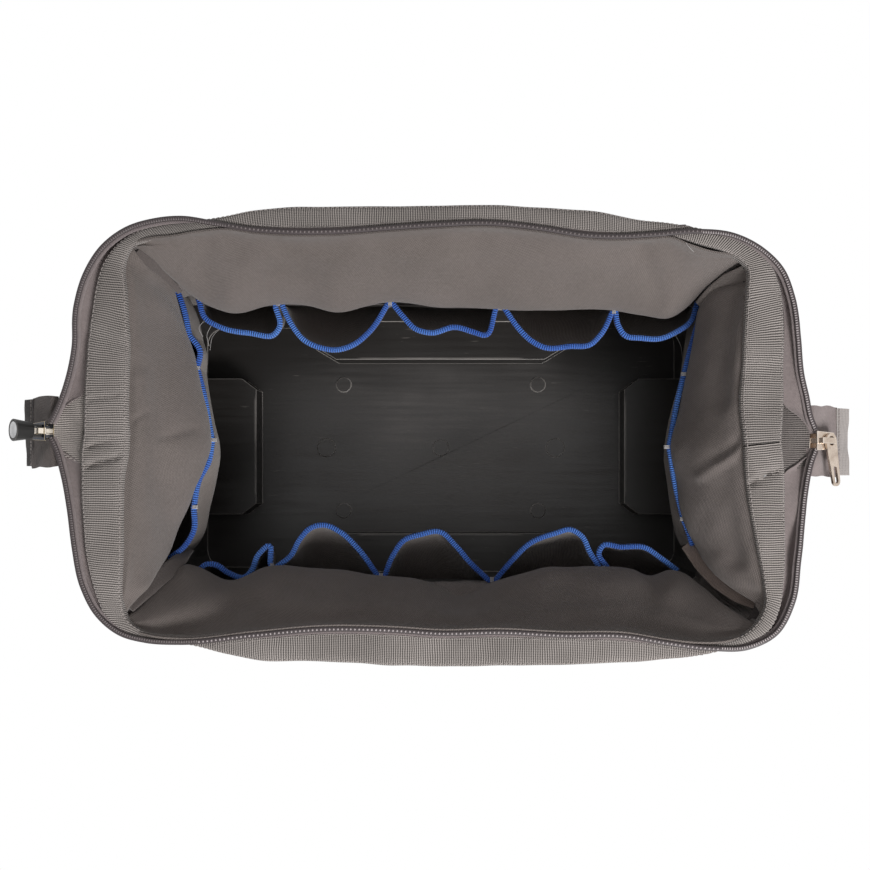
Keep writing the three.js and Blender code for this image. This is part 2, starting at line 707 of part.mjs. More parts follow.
function handleStrap(sign) {
  const points = handlePath().map(([x, z]) => new THREE.Vector3(x, sign * HANDLE.y, z));
  return loft(carry(points, () => bevelledBox(HANDLE.width, HANDLE.thick, STRAP_BEVEL), BACKWARD));
}

function gripWrap(sign) {
  const half = GRIP_WRAP.half;
  const points = [-half, half].map((x) => new THREE.Vector3(x, sign * HANDLE.y, HANDLE.foot));
  const [boreWidth, boreThick] = [HANDLE.width + 3 * FIT_GAP, HANDLE.thick + 3 * FIT_GAP];
  const outer = bevelledBox(GRIP_WRAP.width, GRIP_WRAP.thick, GRIP_WRAP.bevel);
  const bore = bevelledBox(boreWidth, boreThick, STRAP_BEVEL);
  return sleeve(carry(points, () => outer, BACKWARD), carry(points, () => bore, BACKWARD));
}

function handleAnchor(sign, x) {
  const { width, thick, foot, top, loopInset, loopRise } = ANCHOR;
  const points = heightsWithin(OUTER_LEVELS, foot, top).map((z) => {
    const wall = outAt("back", levelAt(OUTER_LEVELS, z), x);
    return new THREE.Vector3(x, sign * (wall + FIT_GAP + thick), z);
  });
  points.push(new THREE.Vector3(x, sign * (HANDLE.y - loopInset), HANDLE.pivotZ + loopRise));
  return loft(carry(points, () => bevelledBox(width, thick, STRAP_BEVEL), BACKWARD));
}

// Assembly

const bag = new THREE.Group();

function finish(colour, roughness, metalness = 0) {
  return () => new THREE.MeshStandardMaterial({ color: colour, roughness, metalness });
}

const trayPlastic = finish("#1e1c1b", 0.42);
const wallFabric = finish("#79706c", 0.88);
const darkFabric = finish("#625c59", 0.9);
const webbing = finish("#8d8581", 0.85);
const blueRibbon = finish("#2f62c4", 0.7);
const steel = finish("#8b8c8e", 0.4, 0.9);
const zipTape = finish("#5c5052", 0.85);
const nickel = finish("#b9aea0", 0.28, 1);
const moulded = finish("#161514", 0.5);

function add(name, geometry, material, parent = bag) {
  const mesh = new THREE.Mesh(geometry, material());
  mesh.name = name;
  parent.add(mesh);
  return mesh;
}

add("base_tray", tray(), trayPlastic);
for (const side of Object.keys(SIDES)) {
  add(`wall_${side}`, lowerWall(side), wallFabric);
  add(`lining_${side}`, upperLining(side), wallFabric);
  add(`shell_${side}`, upperShell(side), wallFabric);
  add(`pocket_strip_${side}`, pocketStrip(side), darkFabric);
  add(`pocket_binding_${side}`, pocketBinding(side), blueRibbon);
}

for (const [name, signX, signY] of [
  ["back_left", -1, 1], ["back_right", 1, 1], ["front_left", -1, -1], ["front_right", 1, -1],
]) {
  add(`corner_seam_${name}`, cornerSeam(signX, signY), darkFabric);
}

for (const [side, places] of [["back", ZIPPER_BACK], ["front", ZIPPER_FRONT]]) {
  add(`frame_bar_${side}`, frameBar(side), steel);
  add(`casing_${side}`, casing(side), webbing);
  add(`zipper_coil_${side}`, coil(places), zipTape);
  add(`zipper_tape_${side}`, tape(places), zipTape);
}

for (const [name, end] of Object.entries(ENDS)) {
  add(`hinge_rivet_${name}`, hingeRivet(end.sign), steel);
  add(`end_strap_${name}`, endStrap(end), webbing);
  const slope = THREE.MathUtils.degToRad(end.slope);
  const tail = new THREE.Group();
  tail.position.set(end.sign * end.mouthX, end.y, MOUTH_Z);
  tail.rotation.set(0, end.sign > 0 ? slope : Math.PI - slope, 0);
  const flip = new THREE.Group();
  flip.rotation.x = end.sign > 0 ? 0 : Math.PI;
  tail.add(flip);
  bag.add(tail);
  const cornerReach = (TAIL_WEBBING.thick / 2) * Math.sin(slope);
  const length = (TAIL_REACH - end.mouthX - cornerReach) / Math.cos(slope);
  add(`zipper_tail_${name}`, tailSheet(), darkFabric, flip);
  add(`tail_webbing_${name}`, tailWebbing(length), webbing, flip);
  add(`tail_coil_${name}`, tailCoil(), zipTape, flip);
  add(`slider_${name}`, slider(), nickel, flip);
  const eyeHeight = SLIDER.inside + SLIDER.plate + CROWN.gap / 2;
  if (name === "left") {
    for (const [piece, geometry, material] of [
      ["pull_left", conePull(), moulded], ["pull_cap_left", pullCap(), nickel],
    ]) {
      const mesh = add(piece, geometry, material, flip);
      mesh.position.set(LEFT_PULL.place, 0, eyeHeight);
      mesh.rotation.y = THREE.MathUtils.degToRad(LEFT_PULL.lean);
    }
  } else {
    const mesh = add("pull_right", tabPull(), nickel, flip);
    mesh.position.set(RIGHT_PULL.place, 0, eyeHeight);
    mesh.rotation.z = THREE.MathUtils.degToRad(RIGHT_PULL.lean);
  }
}

for (const [side, sign] of [["back", 1], ["front", -1]]) {
  add(`handle_${side}`, handleStrap(sign), webbing);
  add(`handle_grip_${side}`, gripWrap(sign), darkFabric);
  for (const [name, x] of [["left", -HANDLE.halfSpan], ["right", HANDLE.halfSpan]]) {
    add(`handle_anchor_${side}_${name}`, handleAnchor(sign, x), webbing);
  }
}

export default bag;
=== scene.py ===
import math

import bpy
import numpy as np
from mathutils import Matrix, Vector


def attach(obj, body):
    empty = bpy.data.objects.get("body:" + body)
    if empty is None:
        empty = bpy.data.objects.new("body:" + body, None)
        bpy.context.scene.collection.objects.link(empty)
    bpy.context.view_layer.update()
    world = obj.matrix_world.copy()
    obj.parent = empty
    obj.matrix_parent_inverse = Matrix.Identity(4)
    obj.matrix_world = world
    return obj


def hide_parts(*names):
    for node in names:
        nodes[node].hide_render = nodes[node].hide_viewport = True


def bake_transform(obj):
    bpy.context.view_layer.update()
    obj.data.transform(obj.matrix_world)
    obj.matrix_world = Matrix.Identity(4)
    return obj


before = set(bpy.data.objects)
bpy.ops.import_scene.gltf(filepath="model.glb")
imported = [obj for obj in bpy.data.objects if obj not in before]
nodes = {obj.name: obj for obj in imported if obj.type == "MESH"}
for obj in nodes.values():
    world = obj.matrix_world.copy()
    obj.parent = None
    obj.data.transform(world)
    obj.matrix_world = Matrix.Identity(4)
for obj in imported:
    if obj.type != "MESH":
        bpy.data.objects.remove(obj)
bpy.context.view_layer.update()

mm = 0.001

# Picture: the camera looks straight down from over the front half of the bag, and its shift
# brings the mouth to the middle of the picture. Lengths in mm, picture places in pixels.
imageSide = 870
camera = {
    "x": 17, "y": -37, "z": 912, "focal": 1050, "rightBy": 25.5, "downBy": 55.5, "sensor": 36, "clipEnd": 20,
}
upwards = np.array([0, 0, 1.0])
downwards = -upwards


def onPlane(pixels, z):
    # Where a place in the picture lies in the bag, at height z: one height, or one for each
    p = np.asarray(pixels, float)
    z = np.broadcast_to(np.asarray(z, float), len(p))
    spread = (camera["z"] - z) / camera["focal"]
    x = camera["x"] + (p[:, 0] - imageSide / 2 - camera["rightBy"]) * spread
    y = camera["y"] - (p[:, 1] - imageSide / 2 - camera["downBy"]) * spread
    return np.stack([x, y, z], axis=1)


def traced(points, z=0):
    # Places in the picture, each with its own height, or at z if it has none
    p = np.array([(*point, z)[:3] for point in points], float)
    return onPlane(p[:, :2], p[:, 2])


lens = bpy.data.cameras.new("view")
lens.sensor_width = camera["sensor"]
lens.lens = camera["focal"] / imageSide * lens.sensor_width
lens.shift_x = -camera["rightBy"] / imageSide
lens.shift_y = camera["downBy"] / imageSide
lens.clip_end = camera["clipEnd"]
viewer = bpy.data.objects.new("view", lens)
viewer.location = (camera["x"] * mm, camera["y"] * mm, camera["z"] * mm)
bpy.context.collection.objects.link(viewer)
bpy.context.scene.camera = viewer
bpy.context.scene.view_settings.view_transform = "Standard"

# Curves and grids. Points are in mm until a mesh is made of them.
curveSteps = 30  # fine steps for each point of a curve's line
sharpAngle = 70  # degrees between two faces, from which their edge stays sharp


def smooth(knots, values, at):
    # A cubic through the knots, with the slopes of their neighbours
    k = np.asarray(knots, float)
    v = np.asarray(values, float)
    at = np.asarray(at, float)
    slope = np.gradient(v, k, axis=0)
    i = np.clip(np.searchsorted(k, at) - 1, 0, len(k) - 2)
    step = k[i + 1] - k[i]
    t = np.clip((at - k[i]) / step, 0, 1)
    extra = (1,) * (v.ndim - 1)
    step = step.reshape(step.shape + extra)
    t = t.reshape(t.shape + extra)
    low = (2 * t**3 - 3 * t**2 + 1) * v[i] + (t**3 - 2 * t**2 + t) * step * slope[i]
    high = (3 * t**2 - 2 * t**3) * v[i + 1] + (t**3 - t**2) * step * slope[i + 1]
    return low + high


def runLength(points, axis=0):
    # How far each point lies along its line from the first: the steps added up
    steps = np.linalg.norm(np.diff(points, axis=axis), axis=-1)
    start = np.zeros_like(np.take(steps, [0], axis=axis))
    return np.cumsum(np.concatenate([start, steps], axis=axis), axis=axis)


def curve(points, count):
    # A smooth line through the points, cut into equal steps
    p = np.asarray(points, float)
    apart = np.linalg.norm(np.diff(p, axis=0), axis=1) > 1e-6
    p = p[np.concatenate([[True], apart])]
    run = runLength(p)
    fine = smooth(run, p, np.linspace(0, run[-1], curveSteps * len(p)))
    run = runLength(fine)
    even = np.linspace(0, run[-1], count)
    return np.stack([np.interp(even, run, fine[:, axis]) for axis in range(p.shape[1])], axis=1)


def unit(v):
    # The same direction at length 1
    return v / np.maximum(np.linalg.norm(v, axis=-1, keepdims=True), 1e-9)


def ease(low, high, value):
    # 0 below low, 1 above high, and a smooth step between
    t = np.clip((value - low) / (high - low), 0, 1)
    return t * t * (3 - 2 * t)


def gridNormals(points):
    # Square to the grid at each point: its row's direction crossed with its column's
    along = np.gradient(points, axis=1)
    down = np.gradient(points, axis=0)
    return unit(np.cross(along, down))


def outwardNormals(points):
    # The same, turned to point away from the bag's middle
    normals = gridNormals(points)
    return normals * np.sign((normals * points * [1, 1, 0]).sum(axis=-1).mean())


def waves(points, size, seed, count=7):
    # A smooth random height: waves of several directions and lengths added up
    rng = np.random.default_rng(seed)
    total = np.zeros(points.shape[:-1])
    for _ in range(count):
        direction = unit(rng.normal(size=3)) / (size * rng.uniform(0.6, 1.6))
        total += np.sin(2 * np.pi * (points @ direction) + rng.uniform(0, 2 * np.pi))
    return total / math.sqrt(count)


def crease(points, ends, wide, deep, push):
    # Push the points near a line in the picture along push: the height falls off as a bell
    # with the distance from the line, which has a height of its own at both ends
    a, b = traced(ends)
    line = (b - a)[:2]
    share = np.clip(((points[..., :2] - a[:2]) @ line) / (line @ line), 0, 1)
    nearest = a[:2] + share[..., None] * line
    away = np.linalg.norm(points[..., :2] - nearest, axis=-1)
    return points + push * (deep * np.exp(-((away / wide) ** 2)))[..., None]


def solid(name, points, faces, uv, body, material, slot):
    # One closed mesh. uv has a place for each corner of each face, in mm of cloth.
    mesh = bpy.data.meshes.new(name)
    volume = 0
    for face in faces:
        for k in range(1, face.shape[1] - 1):
            a, b, c = points[face[:, 0]], points[face[:, k]], points[face[:, k + 1]]
            volume += np.einsum("ij,ij->", a, np.cross(b, c))
    if volume < 0:
        faces = [face[:, ::-1] for face in faces]
        uv = [corner[:, ::-1] for corner in uv]
    mesh.from_pydata((points * mm).tolist(), [], [f for face in faces for f in face.tolist()])
    layer = mesh.uv_layers.new(name="cloth")
    layer.data.foreach_set("uv", (np.concatenate([c.reshape(-1, 2) for c in uv]) * mm).ravel())
    mesh.polygons.foreach_set("use_smooth", [True] * len(mesh.polygons))
    mesh.materials.append(material)
    mesh.update()
    mesh.set_sharp_from_angle(angle=math.radians(sharpAngle))
    piece = bpy.data.objects.new(name, mesh)
    bpy.context.collection.objects.link(piece)
    if body:
        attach(piece, body)
    return piece


def quads(ids, places):
    # The faces over a grid of point numbers, and each corner's place on the cloth
    quad = [ids[:-1, :-1], ids[:-1, 1:], ids[1:, 1:], ids[1:, :-1]]
    flat = [places[:-1, :-1], places[:-1, 1:], places[1:, 1:], places[1:, :-1]]
    return np.stack([q.ravel() for q in quad], axis=1), np.stack([q.reshape(-1, 2) for q in flat], axis=1)


def slab(near, far, wrap=False, uv=None):
    # A closed body between two grids. With wrap its last column meets its first.
    rows, columns = near.shape[:2]
    if uv is None:
        closed = np.concatenate([near, near[:, :1]], axis=1) if wrap else near
        uv = np.stack([runLength(closed, 1), runLength(closed, 0)], axis=-1)
    ids = np.arange(rows * columns).reshape(rows, columns)
    if wrap:
        ids = np.concatenate([ids, ids[:, :1]], axis=1)
    shift = rows * columns
    parts = [quads(ids, uv), quads(ids[:, ::-1] + shift, uv[:, ::-1])]
    edges = [(ids[0, ::-1], uv[0, ::-1]), (ids[-1], uv[-1])]
    if not wrap:
        edges += [(ids[:, 0], uv[:, 0]), (ids[::-1, -1], uv[::-1, -1])]
    for line, place in edges:
        parts.append(quads(np.stack([line, line + shift]), np.stack([place, place + [0, 1]])))
    faces, corners = zip(*parts)
    return np.concatenate([near.reshape(-1, 3), far.reshape(-1, 3)]), list(faces), list(corners)


def sheet(name, near, thick, body, material, slot, uv=None):
    far = near + outwardNormals(near) * thick
    return solid(name, *slab(near, far, uv=uv), body, material, slot)


def carry(path, section, up=(0, 0, 1)):
    # Rings of a section along a path. section is (points, 2) or (path, points, 2).
    path = np.asarray(path, float)
    ahead = unit(np.gradient(path, axis=0))
    across = unit(np.cross(ahead, np.broadcast_to(np.asarray(up, float), ahead.shape)))
    lift = np.cross(across, ahead)
    section = np.broadcast_to(np.asarray(section, float), (len(path), *np.shape(section)[-2:]))
    wide = section[:, :, :1] * across[:, None] + section[:, :, 1:] * lift[:, None]
    return path[:, None] + wide


def rounded(width, height, power=4, count=24):
    # A flattened oval: the higher the power, the squarer
    turn = np.linspace(0, 2 * np.pi, count, endpoint=False)
    c, s = np.cos(turn), np.sin(turn)
    return np.stack([
        width / 2 * np.sign(c) * np.abs(c) ** (2 / power),
        height / 2 * np.sign(s) * np.abs(s) ** (2 / power),
    ], axis=1)


def rod(name, rings, body, material, slot):
    # Closed bodies through rings (rod, ring, side), shut at both ends with flat caps
    rods, count, sides = rings.shape[:3]
    closed = np.concatenate([rings, rings[:, :, :1]], axis=2)
    along = np.broadcast_to(runLength(rings.mean(axis=2), 1)[..., None], closed.shape[:3])
    uv = np.stack([along, runLength(closed, 2)], axis=-1)
    ids = np.arange(rods * count * sides).reshape(rods, count, sides)
    ids = np.concatenate([ids, ids[:, :, :1]], axis=2)
    quad = [ids[:, :-1, :-1], ids[:, :-1, 1:], ids[:, 1:, 1:], ids[:, 1:, :-1]]
    flat = [uv[:, :-1, :-1], uv[:, :-1, 1:], uv[:, 1:, 1:], uv[:, 1:, :-1]]
    faces = [np.stack([q.ravel() for q in quad], axis=1), ids[:, 0, -2::-1], ids[:, -1, :-1]]
    corners = [np.stack([q.reshape(-1, 2) for q in flat], axis=1), uv[:, 0, -2::-1], uv[:, -1, :-1]]
    return solid(name, rings.reshape(-1, 3), faces, corners, body, material, slot)


def band(name, path, section, body, material, slot, up=(0, 0, 1)):
    # One rod along a path, with its section square to it
    return rod(name, carry(path, section, up)[None], body, material, slot)


def studs(name, shape, at, ahead, up, body, material, slot):
    # Many copies of one small body. shape is rings (ring, side, 3) of lengths ahead, across
    # and up from each place.
    ahead = unit(ahead)
    across = unit(np.cross(up, ahead))
    basis = np.stack([ahead, across, np.cross(ahead, across)], axis=1)
    rings = at[:, None, None] + np.einsum("rsk,nkj->nrsj", shape, basis)
    return rod(name, rings, body, material, slot)


def bead(length, width, height, sides=6):
    # A stitch: a small body that thins towards both ends
    turn = np.linspace(0, 2 * np.pi, sides, endpoint=False)
    ring = np.stack([np.zeros(sides), np.cos(turn) * width / 2, np.sin(turn) * height / 2], axis=1)
    swell = np.array([0.35, 1, 1, 0.35])[:, None, None]
    place = np.array([-0.5, -0.3, 0.3, 0.5])[:, None, None] * [length, 0, 0]
    return ring[None] * swell + place


# Materials


class Finish:
    # A node material: the shader, and short ways to add nodes to it

    def __init__(self, name):
        self.material = bpy.data.materials.new(name)
        self.material.use_nodes = True
        self.tree = self.material.node_tree
        self.shader = self.tree.nodes["Principled BSDF"]
        self.place = self.tree.nodes.new("ShaderNodeTexCoord")

    def put(self, node, inputs):
        for key, value in inputs.items():
            if isinstance(value, bpy.types.NodeSocket):
                self.tree.links.new(value, node.inputs[key])
            else:
                node.inputs[key].default_value = value
        return node

    def add(self, kind, inputs=None, **settings):
        node = self.tree.nodes.new("ShaderNode" + kind)
        for key, value in settings.items():
            setattr(node, key, value)
        return self.put(node, inputs or {})

    def math(self, operation, *values):
        node = self.add("Math", dict(enumerate(values)), operation=operation)
        return node.outputs[0]

    def mix(self, share, first, second):
        node = self.add("Mix", {0: share, 6: first, 7: second}, data_type="RGBA")
        return node.outputs[2]

    def ramp(self, value, low, high, first=0.0, last=1.0):
        node = self.add("MapRange", {0: value, 1: low, 2: high, 3: first, 4: last})
        return node.outputs[0]

    def noise(self, scale, detail=3.0, stretch=None):
        vector = self.place.outputs["Object"]
        if stretch:
            vector = self.add("Mapping", {"Vector": vector, "Scale": stretch}).outputs[0]
        node = self.add("TexNoise", {"Vector": vector, "Scale": scale, "Detail": detail})
        return node.outputs[0]

    def split(self, source):
        # The directions of the cloth, or of the bag, in mm
        parts = self.add("SeparateXYZ", {0: self.place.outputs[source]})
        return [self.math("MULTIPLY", parts.outputs[k], 1000.0) for k in range(3)]

    def wave(self, value, pitch):
        # A sine that repeats at the pitch
        turned = self.math("MULTIPLY", value, 2 * math.pi / pitch)
        return self.math("SINE", turned)

    def bump(self, height, distance, strength=1.0, below=None):
        inputs = {"Height": height, "Distance": distance, "Strength": strength}
        if below:
            inputs["Normal"] = below
        return self.add("Bump", inputs).outputs[0]

    def done(self, **inputs):
        names = {key.replace("_", " "): value for key, value in inputs.items()}
        self.put(self.shader, names)
        return self.material


def colour(hexed):
    # A screen colour as the linear values that Blender works in
    values = [int(hexed[i:i + 2], 16) / 255 for i in (1, 3, 5)]
    line = [v / 12.92 if v <= 0.04045 else ((v + 0.055) / 1.055) ** 2.4 for v in values]
    return (*line, 1.0)


# Noises are per metre and bumps in metres. Most of a noise's values lie in its span.
noiseSpan = (0.3, 0.7)
weaveLook = {
    "slant": 0.35, "mottle": 18.0, "grain": 520.0, "folds": 40.0, "foldDeep": 0.004, "deep": 0.0003,
    "between": (0.02, 0.018, 0.017, 1),
}
ribLook = {"wobble": 0.7, "wobbleSize": 45.0, "thread": 0.75, "mottle": 22.0, "deep": 0.0005}


def cloth(name, light, dark, thread=1.5, coarse=0.4):
    # Coated polyester: a plain weave that runs aslant, mottled, with a soft sheen
    f = Finish(name)
    u, v, _ = f.split("UV")
    warp = f.wave(f.math("MULTIPLY_ADD", v, weaveLook["slant"], u), thread)
    weft = f.wave(f.math("MULTIPLY_ADD", u, -weaveLook["slant"], v), thread)
    weave = f.math("MULTIPLY", warp, weft)
    mottle = f.noise(weaveLook["mottle"], 4.0)
    grain = f.noise(weaveLook["grain"], 3.0)
    share = f.math("ADD", f.ramp(mottle, *noiseSpan, 0.0, 0.5), f.ramp(grain, *noiseSpan, 0.0, 0.5))
    shade = f.mix(share, colour(dark), colour(light))
    lit = f.mix(f.ramp(weave, -1.0, 1.0, coarse, 0.0), shade, weaveLook["between"])
    fold = f.bump(f.noise(weaveLook["folds"], 4.0), weaveLook["foldDeep"], 0.3)
    normal = f.bump(weave, weaveLook["deep"], 0.6, fold)
    return f.done(
        Base_Color=lit, Roughness=f.ramp(grain, 0.2, 0.8, 0.75, 0.92), Normal=normal,
        Sheen_Weight=0.2, Sheen_Roughness=0.5, Specular_IOR_Level=0.35,
    )


def ribbed(name, light, dark, pitch, groove=0.6, gap="#1b1918"):
    # Webbing: ribs across its length, each of many short threads
    f = Finish(name)
    u, v, _ = f.split("UV")
    wobble = f.ramp(f.noise(ribLook["wobbleSize"]), 0.2, 0.8, -ribLook["wobble"], ribLook["wobble"])
    rib = f.wave(f.math("ADD", u, wobble), pitch)
    thread = f.wave(v, pitch * ribLook["thread"])
    mottle = f.noise(ribLook["mottle"], 4.0)
    shade = f.mix(f.ramp(mottle, *noiseSpan), colour(dark), colour(light))
    deep = f.ramp(f.math("MULTIPLY_ADD", thread, 0.35, rib), -1.1, 0.5, groove, 0.0)
    lit = f.mix(deep, shade, colour(gap))
    height = f.math("MULTIPLY_ADD", thread, 0.25, rib)
    normal = f.bump(height, ribLook["deep"], 0.8)
    return f.done(Base_Color=lit, Roughness=0.82, Normal=normal, Sheen_Weight=0.2, Specular_IOR_Level=0.3)


def moulded(name, base, worn, rough):
    # Moulded plastic: fine grain, dusty scuffs along its length
    f = Finish(name)
    scuff = f.noise(120.0, 6.0, stretch=(0.15, 1.0, 0.4))
    dust = f.noise(9.0, 3.0)
    share = f.math("MULTIPLY", f.ramp(scuff, 0.5, 0.8), f.ramp(dust, 0.4, 0.7))
    lit = f.mix(share, colour(base), colour(worn))
    normal = f.bump(f.noise(900.0, 2.0), 0.0001, 0.4)
    return f.done(Base_Color=lit, Roughness=f.ramp(scuff, 0.3, 0.8, rough, rough + 0.2), Normal=normal)


def metal(name, base, bright, rough):
    # Bare metal, smeared and finely grained
    f = Finish(name)
    smear = f.noise(160.0, 4.0)
    fine = f.noise(900.0, 2.0)
    return f.done(
        Base_Color=f.mix(f.ramp(smear, 0.3, 0.7), colour(base), colour(bright)), Metallic=1.0,
        Roughness=f.ramp(smear, 0.3, 0.8, rough, rough + 0.15), Normal=f.bump(fine, 0.0001, 0.15),
    )


def enamelled(name, enamel, bare, middle, half):
    # A dark lacquered slider whose crown and post, along its middle line, are polished bare
    f = Finish(name)
    y = f.split("Object")[1]
    off = f.math("ABSOLUTE", f.math("SUBTRACT", y, middle))
    smear = f.noise(300.0, 3.0)
    polished = f.ramp(off, half - 0.2, half + 0.2, 1.0, 0.0)
    return f.done(
        Base_Color=f.mix(polished, colour(enamel), colour(bare)),
        Metallic=f.ramp(polished, 0.0, 1.0, 0.6, 1.0),
        Roughness=f.ramp(smear, 0.3, 0.8, 0.2, 0.34), Normal=f.bump(smear, 0.0001, 0.2),
    )


def trayFinish(name, look):
    # The tray's floor is greyer and browner at its middle, which is a painted reflection of the light
    # over the mouth; it is streaked and scuffed along the bag
    f = Finish(name)
    x, y, z = f.split("Object")
    wide = f.math("MULTIPLY", x, 1 / look["paleHalfX"])
    deep = f.math("MULTIPLY", y, 1 / look["paleHalfY"])
    reach = f.math("SQRT", f.math("ADD", f.math("MULTIPLY", wide, wide), f.math("MULTIPLY", deep, deep)))
    low = f.ramp(z, look["floorTop"], look["floorTop"] + 4, 1.0, 0.0)
    pale = f.math("MULTIPLY", f.ramp(reach, 0.25, 1.15, 1.0, 0.0), low)
    streak = f.noise(260.0, 5.0, stretch=(0.05, 1.0, 1.0))
    cloud = f.noise(24.0, 4.0)
    # The streaks and clouds set the roughness, and how strongly the painted reflection shows
    worn = f.math("MULTIPLY", f.ramp(streak, 0.3, 0.75), f.ramp(cloud, 0.35, 0.65, 0.3, 1.0))
    reflectionShare = f.math("MULTIPLY", pale, f.ramp(worn, 0.0, 0.8, 0.35, 1.0))
    ground = f.mix(reflectionShare, colour(look["base"]), colour(look["pale"]))
    scratch = f.noise(420.0, 2.0, stretch=(0.12, 1.0, 0.5))
    speck = f.math("MULTIPLY", f.ramp(scratch, 0.68, 0.74), f.ramp(cloud, 0.5, 0.62))
    lit = f.mix(f.math("MULTIPLY", speck, look["scuff"]), ground, colour(look["scratch"]))
    # The ledges' inner top edges are painted pale: a painted highlight where they catch the light
    onTop = f.ramp(z, look["ledgeTop"] - 1.5, look["ledgeTop"] - 1, 0.0, 1.0)
    for across, along, (inner, half) in ((x, y, look["endLedge"]), (y, x, look["sideLedge"])):
        far = f.math("ABSOLUTE", across)
        within = f.ramp(far, inner - 1, inner, 0.0, 1.0)
        near = f.math("MULTIPLY", f.ramp(far, inner + 0.6, inner + 2.2, 1.0, 0.0), within)
        beside = f.ramp(f.math("ABSOLUTE", along), half - 3, half + 3, 1.0, 0.0)
        ledgeHighlight = f.math("MULTIPLY", f.math("MULTIPLY", near, beside), onTop)
        share = f.math("MULTIPLY", ledgeHighlight, f.ramp(cloud, *noiseSpan, 0.35, 0.9))
        lit = f.mix(share, lit, colour(look["ledgeHighlight"]))
    normal = f.bump(streak, 0.0004, 0.25, f.bump(f.noise(800.0, 2.0), 0.0001, 0.4))
    rough = f.ramp(worn, 0.0, 1.0, look["rough"], look["rough"] + 0.2)
    return f.done(Base_Color=lit, Roughness=rough, Normal=normal)


wallCloth = cloth("wallCloth", "#867c78", "#706762", 1.7, 0.5)
shellCloth = cloth("shellCloth", "#8b827e", "#736a66", 1.7, 0.42)
gussetCloth = cloth("gussetCloth", "#988c8a", "#817574", 1.2, 0.2)
pocketCloth = cloth("pocketCloth", "#8f8580", "#776e69", 1.7, 0.42)
darkCloth = cloth("darkCloth", "#6d6461", "#574f4c", 1.6, 0.4)
brownCloth = cloth("brownCloth", "#8a7a72", "#6e6059", 1.6, 0.3)
tapeCloth = cloth("tapeCloth", "#9a8e8c", "#84797a", 0.9, 0.2)
edgeCloth = cloth("edgeCloth", "#4c4443", "#3a3433", 0.9, 0.2)
webCloth = ribbed("webCloth", "#b5aca7", "#98908b", 1.53, 0.8)
fineWebCloth = ribbed("fineWebCloth", "#c2b9b5", "#aaa19d", 1.5, 0.3)
patchCloth = ribbed("patchCloth", "#cfc5be", "#a39a95", 1.4, 0.6)
# A darker copy of the patch webbing: painted shade on the right patch
shadedPatchCloth = ribbed("shadedPatchCloth", "#8f8783", "#6c6461", 1.4, 0.6)
darkWebCloth = ribbed("darkWebCloth", "#5c5756", "#474342", 1.5, 0.3)
blueCloth = ribbed("blueCloth", "#5f96ec", "#2759bd", 1.6, 0.85, "#08246c")
stitchThread = cloth("stitchThread", "#b5aca8", "#958c88", 0.6, 0.1)
paleThread = cloth("paleThread", "#d6d2d0", "#b6b1af", 0.6, 0.1)
# A ledge's pair is its inner edge's distance from the middle, and its half length
# The floor's pale colour is a painted reflection of the light over the mouth
trayLook = {
    "base": "#23201e", "pale": "#6b6765", "scratch": "#8b8580", "scuff": 0.45, "rough": 0.34,
    # The last colour on the next line is the painted highlight on the ledges' inner edges
    "paleHalfX": 165, "paleHalfY": 85, "floorTop": 6, "ledgeTop": 30, "ledgeHighlight": "#8e8985",
    "endLedge": (154.5, 40), "sideLedge": (73, 68),
}
trayPlastic = trayFinish("trayPlastic", trayLook)
# The edge finishes of the tray, the pulls and the sliders are lighter than their bodies: painted highlights
# on their eased edges
trayEdgeHighlight = moulded("trayEdgeHighlight", "#8f8a86", "#a8a39f", 0.25)
pullPlastic = moulded("pullPlastic", "#121110", "#2a2827", 0.35)
pullEdgeHighlight = moulded("pullEdgeHighlight", "#3c3936", "#5a5652", 0.3)
coilNylon = moulded("coilNylon", "#a59c9c", "#beb6b6", 0.35)
# A darker copy of the coil's nylon: painted shade on the teeth that lie in shade
shadedNylon = moulded("shadedNylon", "#6d6464", "#857c7c", 0.35)
shadedCoilCore = moulded("shadedCoilCore", "#3a3233", "#4b4243", 0.5)
steel = metal("steel", "#7d7e80", "#a4a5a7", 0.3)
nickel = metal("nickel", "#b5a596", "#dccdbf", 0.18)
nickelEdgeHighlight = metal("nickelEdgeHighlight", "#d9ccbf", "#f2e8dd", 0.15)
paleMetal = metal("paleMetal", "#9b9b9c", "#c8c8c9", 0.3)
leftEnamel = enamelled("leftEnamel", "#2a2e3c", "#f0e6d8", 3.0, 2.1)
brassEdgeHighlight = metal("brassEdgeHighlight", "#8c7f68", "#b3a488", 0.2)
print("stage: materials made")

# The soft walls' inner and outer faces, level by level: height, half length, half width, corner
# radius, and how far the ends and the long sides are drawn in at their middles.
innerLevels = np.array([
    (88, 210, 109, 22, 0, 0), (105, 208, 107, 20, 3, 0), (120, 203, 104, 18, 10, 1),
    (150, 190, 99, 14, 25, 3), (168, 193, 104, 14, 19, 2), (190, 199, 112, 16, 8, -6),
    (209, 203.8, 117.5, 20, 0, -14),
])
outerLevels = np.array([
    (91, 217, 117, 27, 0, 0), (120, 212, 113, 25, 12, 1), (150, 204, 109.5, 22, 27, 2),
    (165, 212, 122, 22, 20, 0), (185, 224, 130, 26, 6, -10), (200.5, 229, 134, 30, 0, -13),
])
hingeZ = 207.5
outOf = {"back": (0, 1, 0), "front": (0, -1, 0), "left": (-1, 0, 0), "right": (1, 0, 0)}


def levelAt(levels, z):
    # A wall's sizes at a height, smooth between the rows of its table
    return smooth(levels[:, 0], levels[:, 1:], np.atleast_1d(np.asarray(z, float)))


